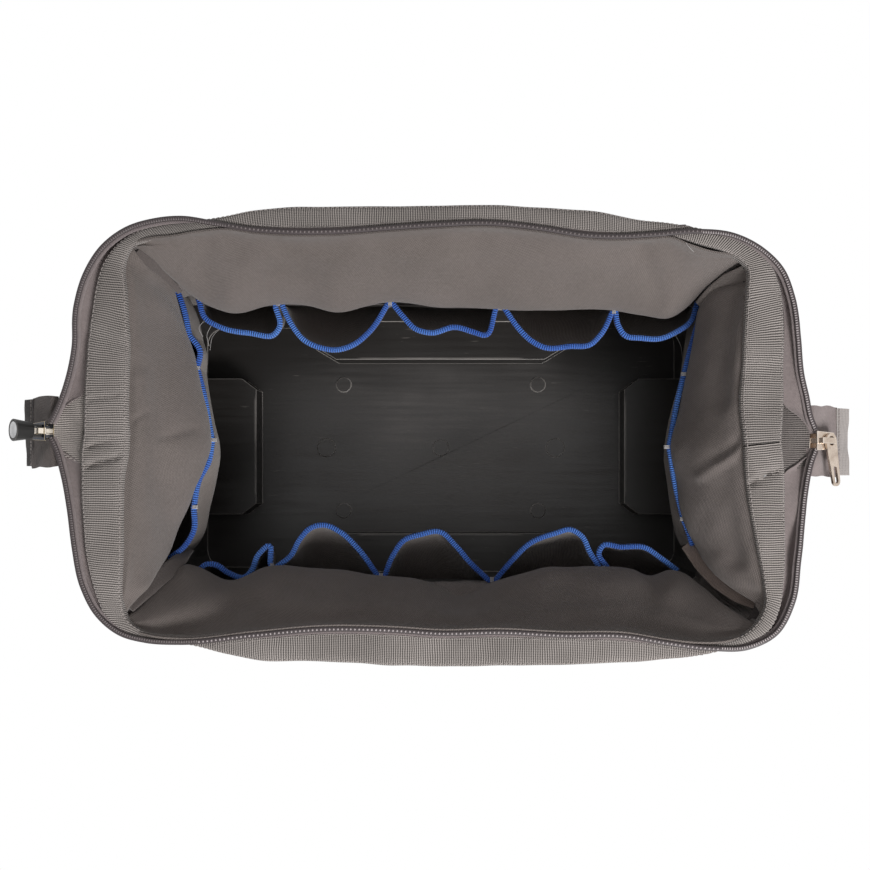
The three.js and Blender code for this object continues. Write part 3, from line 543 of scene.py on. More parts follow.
def wallGrid(side, levels, heights, columns, spare=0.0):
    # Rows of a wall face, from the seam in one corner to the seam in the next. A row is
    # straight with a quarter round at each end, drawn in as a squared cosine.
    z = np.asarray(heights, float)[:, None]
    x, y, r, inX, inY = np.moveaxis(levelAt(levels, z[:, 0]), 1, 0)[:, :, None]
    half, out, drawn = (x, y, inY) if side in ("back", "front") else (y, x, inX)
    straight = half - r
    reach = straight + r * math.pi / 4 - spare
    d = np.linspace(-1, 1, columns)[None, :] * reach
    past = np.maximum(np.abs(d) - straight, 0) / r
    along = np.sign(d) * (np.minimum(np.abs(d), straight) + r * np.sin(past))
    sag = drawn * np.cos(np.pi / 2 * np.clip(np.abs(d) / straight, 0, 1)) ** 2
    away = out - sag - r * (1 - np.cos(past))
    if side in ("back", "front"):
        x, y = along, away if side == "back" else -away
    else:
        x, y = away if side == "right" else -away, along
    return np.stack(np.broadcast_arrays(x, y, z), axis=-1)


def followFrame(piece, side):
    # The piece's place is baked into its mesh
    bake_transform(piece)


leastShare = 0.35  # of its flat rectangle that a sheet's cloth fills


def declare(grid):
    # The flat size of a sheet is its longest row and column, and its area is less, in metres
    wide = float(runLength(grid, 1)[:, -1].max() * mm)
    long = float(runLength(grid, 0)[-1].max() * mm)
    side = np.cross(grid[1:, 1:] - grid[:-1, :-1], grid[1:, :-1] - grid[:-1, 1:])
    area = float(np.linalg.norm(side, axis=-1).sum() / 2 * mm * mm)
    long = min(long, area / wide / leastShare)


def looseness(v, columns, free, power):
    # How far a panel's cloth may move: not at all on its four sewn edges. free has the shares
    # of its height between which it is quite free.
    rows = (ease(0, free[0], v) * (1 - ease(free[1], 1.0, v)))[:, None]
    return rows * np.sin(np.pi * np.linspace(0, 1, columns)) ** power


def tapered(section, wide):
    # A section of width 1 for each point of a path, stretched to the path's width there
    return section[None] * np.stack([wide, 0 * wide + 1], axis=1)[:, None]


def stitchRow(name, line, count, size, up, body, slot):
    # Stitches at equal steps along a line. size is a stitch's length, width and height.
    at = curve(line, count)
    studs(name, bead(*size), at, np.gradient(at, axis=0), up, body, stitchThread, slot)


# Rigid pieces: the CAD nodes, with their edges eased and a finish of their own on the edges, which
# on the tray, the sliders and the pulls is lighter: a painted highlight. Each has its finish, its
# edges' finish and their width.
easing = {
    "base_tray": (trayPlastic, trayEdgeHighlight, 1.5), "hinge_rivet_left": (steel, steel, 0.3),
    "hinge_rivet_right": (steel, steel, 0.3), "slider_left": (leftEnamel, brassEdgeHighlight, 0.25),
    "slider_right": (nickel, nickelEdgeHighlight, 0.35), "pull_left": (pullPlastic, pullEdgeHighlight, 0.4),
    "pull_cap_left": (paleMetal, paleMetal, 0.25), "pull_right": (nickel, nickelEdgeHighlight, 0.4),
}
easeLook = {"join": 0.01, "segments": 3, "angle": 35}
for name, (material, edge, wide) in easing.items():
    piece = nodes[name]
    piece.data.materials.clear()
    piece.data.materials.append(material)
    piece.data.materials.append(edge)
    weld = piece.modifiers.new("join", "WELD")
    weld.merge_threshold = easeLook["join"] * mm
    bevel = piece.modifiers.new("ease", "BEVEL")
    bevel.width = wide * mm
    bevel.segments = easeLook["segments"]
    bevel.limit_method = "ANGLE"
    bevel.angle_limit = math.radians(easeLook["angle"])
    bevel.material = 1
print("stage: rigid pieces finished")

# Linings. Each hangs from the mouth (top) over a slack fold (crest) to the tray. The places are
# traced in the picture, the ends' from back to front, with a height where it isn't the usual one.
lining = {
    "thick": 1.3, "columns": 181, "rows": 72, "footZ": 88, "crestZ": 149, "gap": 30, "middle": 0.42,
    "tuckDown": 5, "slackZ": (205, 152), "free": (0.18, 0.85), "fine": 3.2, "fineShare": 0.22,
    # Where the rows named in liningGrid come, as shares of its height
    "rowsAt": [0, 0.08, 0.3, 0.54, 0.62, 0.8, 1],
}
topLines = {
    "back": [
        (132, 243, 211), (150, 239, 213), (170, 237, 213), (200, 232), (225, 230), (253, 234), (295, 236.5),
        (337, 236), (393, 232), (440, 229), (486, 227.5), (542, 233), (584, 239.5), (612, 241), (654, 239),
        (668, 238), (691, 246, 212), (710, 252, 211), (730, 255, 210), (750, 258, 209),
    ],
    "front": [
        (120, 622, 209), (134, 630, 211), (150, 635, 213), (180, 638), (253, 631), (323, 625), (393, 626),
        (440, 629), (500, 628), (562, 631), (626, 632), (669, 639), (700, 642, 213), (725, 641, 212),
        (745, 635, 210), (759, 628, 208),
    ],
    "left": [
        (132, 246), (122, 264), (124, 292), (126, 337), (126, 380), (126, 432), (121, 476), (120, 532),
        (119, 594), (120, 621),
    ],
    "right": [
        (752, 260), (750, 285), (748, 320), (743, 404), (746, 448), (749, 490), (760, 546), (768, 585),
        (773, 598), (768, 612), (759, 627),
    ],
}
crestLines = {
    "back": [
        (134, 246, 205), (160, 267, 186), (180, 284, 168), (196, 297, 154), (213, 307, 150), (239, 311.5),
        (267, 306), (309, 305), (337, 309), (365, 305), (387, 302), (440, 307), (494, 308), (556, 309),
        (604, 309), (640, 314), (669, 316), (688, 306, 151), (698, 297, 156), (713, 285, 168),
        (732, 271, 186), (749, 260, 204),
    ],
    "front": [
        (122, 620, 205), (144, 602, 190), (170, 577, 168), (188, 563, 155), (199, 565, 151), (230, 581, 150),
        (267, 567), (309, 567), (351, 570), (382, 575), (407, 577), (440, 585), (461, 591), (500, 582),
        (542, 573), (598, 566), (632, 567), (650, 575, 150), (670, 570, 151), (684, 574, 155),
        (698, 584, 164), (725, 605, 186), (757, 625, 205),
    ],
    "left": [
        (134, 250, 205), (145, 263, 197), (160, 272, 182), (172, 284, 166), (179, 301, 157), (186, 322, 152),
        (193, 347, 150), (202, 388, 150), (211, 425), (213, 447), (205, 468, 150), (195, 487, 151),
        (188, 508, 151), (178, 530, 153), (170, 550, 159), (156, 571, 176), (145, 588, 191), (124, 615, 205),
    ],
    "right": [
        (749, 263, 205), (745, 281, 196), (724, 286, 182), (708, 294, 168), (700, 307, 158), (694, 340, 151),
        (686, 374), (678, 412), (667, 447), (675, 484), (683, 519, 151), (694, 543, 156), (706, 564, 166),
        (732, 588, 186), (764, 606, 203),
    ],
}
# How a panel leaves the mouth: the top's usual height, how far down and in, and its tuck under
# the crest
longSide = {"topZ": 212.9, "drop": 5, "lean": 0.4, "tuck": 6}
endSide = {"topZ": 207, "drop": 0.3, "lean": 3, "tuck": 1.5}
# How each panel bulges between its top and its crest, and its own wrinkles
panelShape = {
    "back": {"bulge": 0.12, "seed": 3, "size": 95, "deep": 1.6, "leaves": longSide},
    "front": {"bulge": 0.1, "seed": 8, "size": 85, "deep": 1.5, "leaves": longSide},
    "left": {"bulge": 0.5, "seed": 5, "size": 90, "deep": 1.0, "leaves": endSide},
    "right": {"bulge": 0.42, "seed": 11, "size": 90, "deep": 1.1, "leaves": endSide},
}
# Folds: two ends in the picture with heights, width, depth (inwards if above 0)
panelFolds = {
    "back": [
        ((640, 236, 210), (655, 300, 160), 7, -2.2), ((262, 250, 200), (232, 300, 156), 9, 1.8),
        ((200, 236, 208), (214, 300, 158), 8, -1.2), ((700, 252, 208), (668, 312, 152), 9, 1.6),
        ((480, 232, 210), (470, 300, 155), 16, -1.4), ((560, 236, 210), (590, 300, 155), 18, 1.2),
        ((350, 240, 208), (336, 305, 153), 16, 1.2), ((182, 236, 210), (150, 247, 204), 4, 1.2),
    ],
    "front": [
        ((160, 612, 190), (262, 592, 170), 10, 2.4), ((175, 628, 205), (250, 606, 190), 7, -2.2),
        ((382, 615, 200), (352, 578, 155), 10, -1.4), ((460, 622, 205), (462, 594, 155), 12, -1.6),
        ((560, 620, 205), (548, 580, 155), 14, 1.4), ((700, 634, 205), (668, 590, 165), 9, 1.6),
        ((640, 625, 205), (625, 575, 155), 10, -1.2),
    ],
    "left": [
        ((127, 425, 205), (147, 412, 200), 2.2, -1.3), ((168, 438, 185), (197, 429, 160), 3, -1.0),
        ((162, 320, 185), (166, 520, 178), 9, -2.4), ((138, 380, 200), (142, 585, 198), 7, 2.6),
        ((128, 590, 203), (160, 490, 190), 5, 0.8), ((170, 470, 180), (186, 440, 168), 5, 0.7),
        ((164, 284, 183), (188, 308, 158), 8, -4.0),
    ],
    "right": [
        ((733, 300, 196), (718, 400, 186), 6, -2.0), ((720, 470, 186), (734, 560, 190), 6, -2.0),
        ((700, 476, 174), (742, 447, 205), 3.2, 1.9),
        ((712, 458, 180), (741, 440, 204), 4, -1.6), ((708, 340, 176), (696, 500, 170), 9, 0.9),
        ((738, 430, 202), (738, 330, 203), 6, 0.8), ((716, 560, 172), (744, 590, 190), 6, 0.8),
    ],
}


def liningGrid(side):
    # A smooth column through seven rows at each place along the side, then wrinkles and folds
    look = panelShape[side]
    leaves = look["leaves"]
    top = curve(traced(topLines[side], leaves["topZ"]), lining["columns"])
    crest = curve(traced(crestLines[side], lining["crestZ"]), lining["columns"])
    if side in ("left", "right"):
        top, crest = top[::-1], crest[::-1]
    foot = wallGrid(side, innerLevels, [lining["footZ"]], lining["columns"])[0]
    out = np.asarray(outOf[side], float)
    gap = np.linalg.norm(crest - top, axis=1, keepdims=True)
    room = np.clip(gap / lining["gap"], 0, 1)
    first = top + (crest - top) * 0.03 + (downwards * leaves["drop"] - out * leaves["lean"]) * room
    middle = top + (crest - top) * lining["middle"]
    middle -= downwards * look["bulge"] * lining["middle"] * (top[:, 2:] - crest[:, 2:])
    slack = ease(*lining["slackZ"], crest[:, 2])[:, None]
    tuck = (out * leaves["tuck"] + downwards * lining["tuckDown"]) * slack
    tucked = crest + (foot - crest) * 0.06 + tuck
    lower = crest + (foot - crest) * [0.7, 0.7, 0.55]
    v = np.linspace(0, 1, lining["rows"])
    grid = smooth(lining["rowsAt"], np.stack([top, first, middle, crest, tucked, lower, foot]), v)
    inward = -outwardNormals(grid)
    free = looseness(v, lining["columns"], lining["free"], 0.4)
    ripple = waves(grid, look["size"], look["seed"]) * look["deep"]
    fine = waves(grid, look["size"] / lining["fine"], look["seed"] + 40)
    ripple += fine * look["deep"] * lining["fineShare"]
    grid = grid + inward * (ripple * free)[..., None]
    panel = (ease(0.02, 0.12, v) * (1 - ease(0.5, 0.6, v)))[:, None, None]
    for start, end, wide, deep in panelFolds[side]:
        grid = crease(grid, [start, end], wide, deep, inward * panel)
    return grid


def halves(side, grid):
    # A long side follows its own half of the frame, an end is sewn of two halves
    if side in ("back", "front"):
        return [(side, side, grid)]
    middle = int(np.abs(grid[0, :, 1]).argmin())
    front, back = grid[:, :middle + 1], grid[:, middle:]
    return [(f"{side}_front", "front", front), (f"{side}_back", "back", back)]


def flatPlaces(side, grid):
    # A panel's weave runs straight: its places are those of the wall's own plane, stretched by
    # the panel's slope
    along = grid[..., 0 if side in ("back", "front") else 1]
    return np.stack([along, runLength(grid, 0)], axis=-1)


liningGrids = {}
for side in outOf:
    liningGrids[side] = liningGrid(side)
    for tag, half, grid in halves(side, liningGrids[side]):
        uv = flatPlaces(side, grid)
        piece = sheet("lining_cloth_" + tag, grid, lining["thick"], None, wallCloth, "wall_fabric", uv)
        followFrame(piece, half)
        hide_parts("lining_" + side, "wall_" + side)
        declare(grid)
print("stage: linings made")

# Jacket: the outer shell, slack between the tray and the frame, with hem stitches
jacket = {
    "thick": 1.8, "columns": 161, "rows": 46, "from": 91, "to": 203, "deep": 1.5, "size": 75, "seed": 21,
    "free": (0.2, 0.8), "fine": 3, "fineShare": 0.3,
    "hemRow": 3, "hemOut": 0.2, "stitchApart": 3.2, "stitch": (2.2, 0.8, 0.7),
}


def jacketGrid(side):
    # The outer wall's rows, rippled where they are free
    heights = np.linspace(jacket["from"], jacket["to"], jacket["rows"])
    grid = wallGrid(side, outerLevels, heights, jacket["columns"])
    free = looseness(np.linspace(0, 1, jacket["rows"]), jacket["columns"], jacket["free"], 0.5)
    seed = jacket["seed"] + list(outOf).index(side)
    fine = waves(grid, jacket["size"] / jacket["fine"], seed + 9)
    ripple = waves(grid, jacket["size"], seed) + jacket["fineShare"] * fine
    return grid + outwardNormals(grid) * (ripple * free * jacket["deep"])[..., None]


jacketGrids = {}
for side in outOf:
    jacketGrids[side] = jacketGrid(side)
    for tag, half, grid in halves(side, jacketGrids[side]):
        uv = flatPlaces(side, grid)
        piece = sheet("jacket_" + tag, grid, -jacket["thick"], None, shellCloth, "wall_fabric", uv)
        followFrame(piece, half)
        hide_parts("shell_" + side)
        declare(grid)
        row = grid[jacket["hemRow"]]
        line = row + outwardNormals(grid)[jacket["hemRow"]] * jacket["hemOut"]
        at = curve(line, int(runLength(row)[-1] / jacket["stitchApart"]))
        ahead = np.gradient(at, axis=0)
        shape = bead(*jacket["stitch"])
        outwards = np.cross(ahead, upwards)
        studs("hem_stitches_" + tag, shape, at, ahead, outwards, "bag", stitchThread, "wall_fabric")
print("stage: jacket made")

# Corner seams: a bound welt inside each corner, a piping outside, and a seam tape that shows in
# each corner. A tape has its line in the picture with heights, and its widths along it.
welt = {"inside": 4.8, "outside": 4.0, "points": 50, "fromRow": 3}
for nameY in ("back", "front"):
    for end, nameX in ((0, "left"), (-1, "right")):
        tag = f"{nameY}_{nameX}"
        inner = curve(liningGrids[nameY][welt["fromRow"]:, end][::4], welt["points"])
        section = rounded(welt["inside"], welt["inside"], 2.4, 12)
        piece = band("corner_welt_" + tag, inner, section, None, darkCloth, "wall_fabric", (0, 1, 0))
        followFrame(piece, nameY)
        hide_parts("corner_seam_" + tag)
        outer = curve(jacketGrids[nameY][:, end][::3], welt["points"])
        section = rounded(welt["outside"], welt["outside"], 2, 12)
        piece = band("corner_piping_" + tag, outer, section, None, darkCloth, "wall_fabric", (0, 1, 0))
        followFrame(piece, nameY)
# The back left and front left tapes take the dark cloth as painted shade of their corners
seamTapes = {
    "front_left": {
        "line": [(130, 609, 202), (146, 592, 190), (163, 575, 176), (179, 560, 158), (188, 550, 138)],
        "wide": [6, 10, 12, 11, 9], "cloth": darkCloth,
    },
    "front_right": {
        "line": [(764, 610, 201), (740, 594, 186), (716, 574, 168), (698, 557, 154), (686, 545, 146)],
        "wide": [3, 13, 17, 15, 8], "cloth": brownCloth,
    },
    "back_left": {
        "line": [(137, 251, 205), (149, 262, 197), (162, 273, 183), (180, 292, 162)],
        "wide": [5, 7, 5, 4], "cloth": darkCloth,
    },
    "back_right": {
        "line": [(746, 271, 203), (734, 280, 192), (717, 292, 176), (700, 306, 158)],
        "wide": [9, 15, 13, 9], "cloth": pocketCloth,
    },
}
# Two ridges along a tape that is folded over the seam's edges
tapeSection = rounded(1, 1.8, 3, 22)
tapeSection[:, 1] *= 1 - 0.3 * np.exp(-((tapeSection[:, 0] / 0.16) ** 2))
for tag, look in seamTapes.items():
    path = curve(traced(look["line"]), 40)
    share = np.linspace(0, 1, len(look["wide"]))
    wide = np.interp(np.linspace(0, 1, len(path)), share, look["wide"])
    section = tapered(tapeSection, wide)
    piece = band("seam_tape_" + tag, path, section, None, look["cloth"], "wall_fabric")
    followFrame(piece, tag.split("_")[0])
print("stage: corners made")

# Pockets. Their mouths follow these lines in the picture, pinned to the wall between pockets;
# the ends' cloth bulges inwards below the mouth as far as the second list.
pocket = {
    "mouthZ": 147, "bulgeZ": 118, "footZ": 93, "thick": 0.8, "rows": 22, "points": 280, "linePoints": 30,
    "lip": 6, "footIn": 3, "footSpread": 1.04, "ripple": 0.7, "rippleSize": 50, "seed": 61,
    "bindWide": 4.0, "bindHigh": 5.0, "bindUp": 1.5, "tackZ": 151, "tack": (4.6, 0.8, 0.8),
}
pocketLines = {
    "back": [
        [(198, 298), (205, 318), (222, 328), (250, 334), (275, 335), (280, 328), (276, 306)],
        [(281, 303), (292, 325), (305, 340), (320, 347), (338, 350), (355, 345), (370, 332), (387, 304)],
        [(393, 303), (405, 318), (415, 328), (430, 332), (455, 327), (475, 333), (485, 336), (497, 308)],
        [(503, 308), (517, 328), (530, 340), (545, 347), (570, 346), (590, 345), (600, 335), (611, 312)],
        [(616, 312), (618, 325), (625, 336), (640, 338), (660, 338), (675, 332), (690, 322), (697, 303)],
    ],
    "front": [
        [
            (200, 575), (205, 566), (215, 565), (228, 573), (245, 577), (252, 570), (258, 555), (270, 545),
            (271, 563),
        ],
        [(275, 568), (292, 555), (300, 540), (313, 527), (325, 525), (340, 532), (357, 548), (378, 574)],
        [(384, 575), (393, 555), (405, 540), (420, 535), (440, 532), (455, 545), (470, 562), (489, 579)],
        [(495, 579), (515, 557), (530, 543), (555, 532), (570, 528), (582, 535), (590, 552), (601, 569)],
        [(607, 569), (598, 552), (602, 545), (620, 546), (645, 547), (660, 557), (677, 570)],
    ],
    "left": [
        [(178, 290), (186, 312), (190, 335)],
        [(190, 335), (200, 352), (197, 368)],
        [(197, 368), (206, 400), (213, 440)],
        [(213, 440), (209, 462), (200, 480), (195, 507)],
        [(195, 507), (195, 530), (186, 545), (170, 558)],
    ],
    "right": [
        [(705, 297), (694, 335), (684, 374)],
        [(684, 374), (674, 412), (667, 447)],
        [(667, 447), (674, 484), (683, 519)],
        [(683, 519), (688, 532), (692, 545)],
    ],
}
pocketBulge = {
    "left": [
        (196, 300), (202, 323), (205, 348), (206, 376), (213, 420), (219, 450), (217, 476), (210, 518),
        (206, 546), (203, 560),
    ],
    "right": [
        (690, 310), (684, 348), (679, 390), (669, 432), (666, 454), (669, 490), (674, 527), (680, 555),
        (684, 568),
    ],
}
barTacks = {
    "back": [(278, 303), (390, 303), (500, 307), (614, 311)],
    "front": [(272, 566), (381, 576), (492, 580), (604, 569)],
    "left": [(197, 368), (214, 440), (195, 507)],
    "right": [(684, 374), (667, 447), (683, 519)],
}


def pocketGrid(side, lines, axis, out):
    # A smooth column from the mouth, over the bulge where there is one, to the foot on the wall
    mouths = [curve(onPlane(line, pocket["mouthZ"]), pocket["linePoints"]) for line in lines]
    mouth = curve(np.concatenate(mouths), pocket["points"])
    level = levelAt(innerLevels, pocket["footZ"])[0]
    foot = mouth.copy()
    foot[:, axis] = out[axis] * (level[axis] - pocket["footIn"])
    foot[:, 1 - axis] *= pocket["footSpread"]
    foot[:, 2] = pocket["footZ"]
    if side in pocketBulge:
        middle = curve(onPlane(pocketBulge[side], pocket["bulgeZ"]), pocket["points"])
        middle[:, 2] = pocket["bulgeZ"]
        under = mouth + upwards * (pocket["bulgeZ"] - pocket["mouthZ"])
        ends = np.sin(np.pi * np.linspace(0, 1, pocket["points"]))[:, None] ** 0.5
        middle = under + (middle - under) * ends
        knots, rows = [0, 0.12, 0.5, 1], [mouth, mouth + downwards * pocket["lip"], middle, foot]
    else:
        middle = mouth + (foot - mouth) * [0.25, 0.25, 0.5]
        knots, rows = [0, 0.5, 1], [mouth, middle, foot]
    grid = smooth(knots, np.stack(rows), np.linspace(0, 1, pocket["rows"]))
    ripple = waves(grid, pocket["rippleSize"], pocket["seed"]) * pocket["ripple"]
    return grid + outwardNormals(grid) * ripple[..., None]


for side, lines in pocketLines.items():
    axis = 1 if side in ("back", "front") else 0
    out = np.asarray(outOf[side], float)
    grid = pocketGrid(side, lines, axis, out)
    piece = sheet("pocket_cloth_" + side, grid, pocket["thick"], "bag", pocketCloth, "pocket_fabric")
    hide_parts("pocket_strip_" + side)
    declare(grid)
    section = rounded(pocket["bindWide"], pocket["bindHigh"], 3, 14)
    path = grid[0] + upwards * pocket["bindUp"]
    piece = band("binding_" + side, path, section, "bag", blueCloth, "blue_binding")
    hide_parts("pocket_binding_" + side)
    tacks = onPlane(barTacks[side], pocket["tackZ"])
    ahead = np.broadcast_to(out, tacks.shape)
    sideways = np.roll(out, 1 if axis == 0 else -1)
    # A tack is three stitches side by side, named by their tenths of a mm from the first
    for tenths in (0, 9, 18):
        at = tacks + sideways * ((tenths - 9) / 10)
        name = f"bar_tack_{side}_{tenths}"
        studs(name, bead(*pocket["tack"]), at, ahead, upwards, "bag", paleThread, "pocket_fabric")
print("stage: pockets made")

# Loose threads left in the corners of the lining, the last one on the frame
looseThread = {"wide": 0.32, "points": 20, "frameFrom": 200}
threads = [
    [(205, 320, 146), (199, 328, 142), (203, 337, 136)], [(212, 324, 146), (207, 335, 138), (209, 346, 128)],
    [(222, 327, 146), (213, 336, 136), (210, 350, 122)], [(672, 330, 144), (680, 344, 134), (683, 360, 122)],
    [(686, 243, 214), (689, 247, 214), (694, 252, 212)],
]
for number, line in enumerate(threads):
    body = "bag" if line[0][2] < looseThread["frameFrom"] else "frame_back"
    section = rounded(looseThread["wide"], looseThread["wide"], 2, 6)
    path = curve(traced(line), looseThread["points"])
    band(f"loose_thread_{number}", path, section, body, paleThread, "pocket_fabric")

# Mouth frame: ribbed sleeves over the folding bars. Each row has the sleeve's inner and outer
# edge in the picture.
sleeve = {
    "thick": 10.5, "centre": 206.4, "edgeZ": 211, "wall": 0.86, "count": 560, "sides": 40,
    "hinge": 0.09, "hingeY": (8, 24), "ripple": 0.02, "rippleSize": 28, "seed": 71,
    "stitch": (2.3, 0.9, 0.7), "stitchApart": 3.1, "stitchInset": 0.86,
    "back": [
        (128, 434.9, 83, 434.9), (127, 424, 83, 424), (128, 376, 84, 376), (128, 330, 89, 320),
        (126, 292, 94, 290), (124, 266, 103, 262), (131, 248, 117, 244), (150, 241, 139, 230),
        (172, 236.5, 162, 224), (200, 231.5, 190, 221), (230, 229, 225, 215.5), (253, 231, 251, 210),
        (295, 233, 295, 206), (337, 232.5, 337, 205.5), (440, 229, 440, 205), (486, 229, 486, 204),
        (542, 231, 542, 207), (598, 236, 598, 211), (640, 239, 640, 219), (672, 237.5, 672, 223),
        (700, 244, 706, 229), (722, 250, 734, 237), (740, 259, 757, 249), (748, 270, 773, 266),
        (748, 288, 780, 284), (746, 312, 783.5, 302), (744, 350, 785, 350), (741, 400, 784.5, 400),
        (742, 424, 784, 424), (744.5, 445.2, 783, 441.6),
    ],
    "front": [
        (127.5, 435, 82.5, 435), (127, 455, 79.5, 455), (123, 476, 80, 476), (122, 532, 82, 530),
        (121, 575, 88, 572), (121, 600, 96, 598), (126, 618, 107, 620), (140, 630, 128, 635),
        (162, 635, 155, 641), (190, 636, 188, 645), (224, 633, 224, 654), (257, 632, 257, 661),
        (309, 628, 309, 662), (393, 628, 393, 666), (440, 631, 440, 667), (514, 630, 514, 666),
        (598, 633, 598, 664), (654, 639, 654, 661), (697, 643, 697, 656), (720, 642, 722, 651),
        (742, 636, 747, 644), (758, 622, 769, 632), (766, 604, 780, 610), (764.5, 586, 784.5, 586),
        (758, 548, 786, 548), (749, 500, 786, 500), (746, 470, 785, 468), (744.5, 446.6, 783, 442.6),
    ],
    # Soft creases over the hinge: two ends, width, depth
    "folds": [
        ((88, 447), (110, 440), 1.6, 2.8), ((88, 466), (117, 457), 1.9, 3.2),
        ((88, 400), (116, 395), 1.8, 1.4), ((752, 483), (776, 471), 2.4, 3.0),
        ((90, 332), (120, 344), 5, 0.8), ((748, 372), (780, 366), 6, 0.8), ((758, 520), (784, 512), 6, 0.7),
    ],
}
bar = {"wide": 7, "high": 5, "share": 1.2, "points": 200}
# The facing reaches further in at the back left corner and not at all at the back right one.
# A corner's numbers are where it starts and is quite there, along x and along y.
facing = {
    "from": 0.1, "top": 200.5, "foot": 197.5, "reach": 3.2, "leftReach": 6.5, "thick": 0.6, "rows": 6,
    "leftCorner": ((-170, -184), (98, 110)), "rightCorner": ((160, 184), (80, 104)),
}
# The sleeve's flattened oval, before it is stretched to size
sleeveRing = rounded(2, 2, 5, sleeve["sides"])


def sleeveGrid(side):
    # Rings of a flattened oval between the two edges, with the run along the middle
    table = np.asarray(sleeve[side], float)
    edges = [onPlane(table[:, :2], sleeve["edgeZ"]), onPlane(table[:, 2:], sleeve["edgeZ"])]
    edges = np.concatenate(edges, axis=1)
    knots = runLength((edges[:, :3] + edges[:, 3:]) / 2)
    edges = smooth(knots, edges, np.linspace(0, knots[-1], sleeve["count"]))
    inner, outer = edges[:, :3], edges[:, 3:]
    inner[:, 2] = outer[:, 2] = sleeve["centre"]
    middle, half = (inner + outer) / 2, (outer - inner) / 2
    half = half * (1 + sleeve["ripple"] * waves(middle, sleeve["rippleSize"], sleeve["seed"]))[:, None]
    hinged = 1 + sleeve["hinge"] * (1 - ease(*sleeve["hingeY"], np.abs(middle[:, 1:2])))
    high = sleeve["thick"] / 2 * hinged * (1 - 0.12 * np.abs(sleeveRing[None, :, 0]) ** 4)
    lift = upwards * (high * sleeveRing[:, 1])[..., None]
    near = middle[:, None] + half[:, None] * sleeveRing[None, :, :1] + lift
    top = np.clip(sleeveRing[:, 1], 0, 1)[None, :, None] * upwards
    for start, end, wide, deep in sleeve["folds"]:
        ends = [(*start, sleeve["edgeZ"]), (*end, sleeve["edgeZ"])]
        near = crease(near, ends, wide, -deep, top)
    far = middle[:, None] + (near - middle[:, None]) * sleeve["wall"]
    return near, far, middle, half


def atCorner(points, corner):
    # 1 in the corner and 0 away from it: the step along x times the step along y
    (startX, endX), (startY, endY) = corner
    return (ease(startX, endX, points[:, 0]) * ease(startY, endY, points[:, 1]))[:, None]


def facingGrid(middle, half):
    # A strip from the sleeve's middle, under it, to just past its inner edge
    corner = atCorner(middle, facing["leftCorner"])
    level = atCorner(middle, facing["rightCorner"])
    reach = facing["reach"] * (1 - level) + (facing["leftReach"] - facing["reach"]) * corner
    start = middle - half * facing["from"] + upwards * (facing["top"] - sleeve["centre"])
    end = middle - half + unit(-half) * reach + upwards * (facing["foot"] - sleeve["centre"])
    return start + (end - start) * np.linspace(0, 1, facing["rows"])[:, None, None]


for side in ("back", "front"):
    body = "frame_" + side
    near, far, middle, half = sleeveGrid(side)
    run = runLength(middle)
    closed = np.concatenate([near, near[:, :1]], axis=1)
    girth = runLength(closed, 1)
    uv = np.stack([np.broadcast_to(run[:, None], closed.shape[:2]), girth], axis=-1)
    piece = solid("sleeve_" + side, *slab(near, far, wrap=True, uv=uv), body, webCloth, "webbing")
    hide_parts("casing_" + side)
    count = int(run[-1] / sleeve["stitchApart"])
    for place, share in (("inner", -sleeve["stitchInset"]), ("outer", sleeve["stitchInset"])):
        # Along the ring's point on top that is nearest to that share of its half width
        off = np.where(sleeveRing[:, 1] < 0, np.inf, np.abs(sleeveRing[:, 0] - share))
        name = f"sleeve_stitches_{side}_{place}"
        stitchRow(name, near[:, off.argmin()], count, sleeve["stitch"], upwards, body, "webbing")
    # The steel bar inside, and the facing that joins the sleeve's inner edge to the lining
    chosen = np.linspace(0, len(half) - 1, bar["points"]).astype(int)
    wide = np.minimum(bar["wide"], bar["share"] * np.linalg.norm(half, axis=1)[chosen])
    section = tapered(rounded(1, bar["high"], 4, 12), wide)
    piece = band("bar_" + side, curve(middle, bar["points"]), section, body, steel, "frame_steel")
    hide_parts("frame_bar_" + side)
    grid = facingGrid(middle, half)
    piece = sheet("facing_" + side, grid, -facing["thick"], body, edgeCloth, "wall_fabric")
    declare(grid)
print("stage: sleeves made")

# Zipper: the coil's line in the picture, from the left slider to the right one
zipperPixels = {
    "back": [
        (47.5, 422), (51, 416), (64.5, 385), (74, 348), (77, 306), (87, 273), (104, 247), (126, 230.5),
        (157, 221),
        (182, 219), (213, 223.5), (253, 230), (295, 232.5), (337, 232), (393, 228), (440, 225),
        (486, 223.5), (542, 229), (584, 235.6), (612, 237), (654, 235), (697, 232), (733, 236),
        (761, 250), (781, 270), (792, 298), (798, 337), (803, 376), (808, 395), (814, 419), (818.5, 429),
    ],
    "front": [
        (47.5, 438), (51, 444), (60, 470), (69, 510), (74, 541), (84, 588), (98, 614), (121, 633),
        (146, 640),
        (180, 642), (253, 635), (323, 629), (393, 630), (440, 633), (500, 632), (562, 635), (626, 636),
        (669, 643), (711, 648), (747, 647), (775, 633), (792, 602), (798, 560), (803, 518), (807, 490),
        (814, 461), (818.5, 450),
    ],
}
coil = {
    "pitch": 2.8, "legPitch": 1.65, "bar": 0.55, "reach": 1.45, "coreWide": 3.5, "coreHigh": 1.8,
    "points": 900, "edgeZ": 211, "sides": 6,
    # Its height over the hinge, how it climbs away from there, and the climb's limit
    "start": 2.2, "climb": 0.1, "railRise": 5.2,
}
tape = {
    "wide": 4.6, "endWide": 3.2, "thick": 0.7, "drop": 1.6, "turn": 24, "columns": 7, "under": 0.12,
    "crown": 0.4, "stitchAt": 0.78, "stitchUp": 0.5, "stitchApart": 2.6, "stitch": (2.5, 0.6, 0.6),
    "grooveOut": 0.4, "groove": (1.3, 0.8),
}
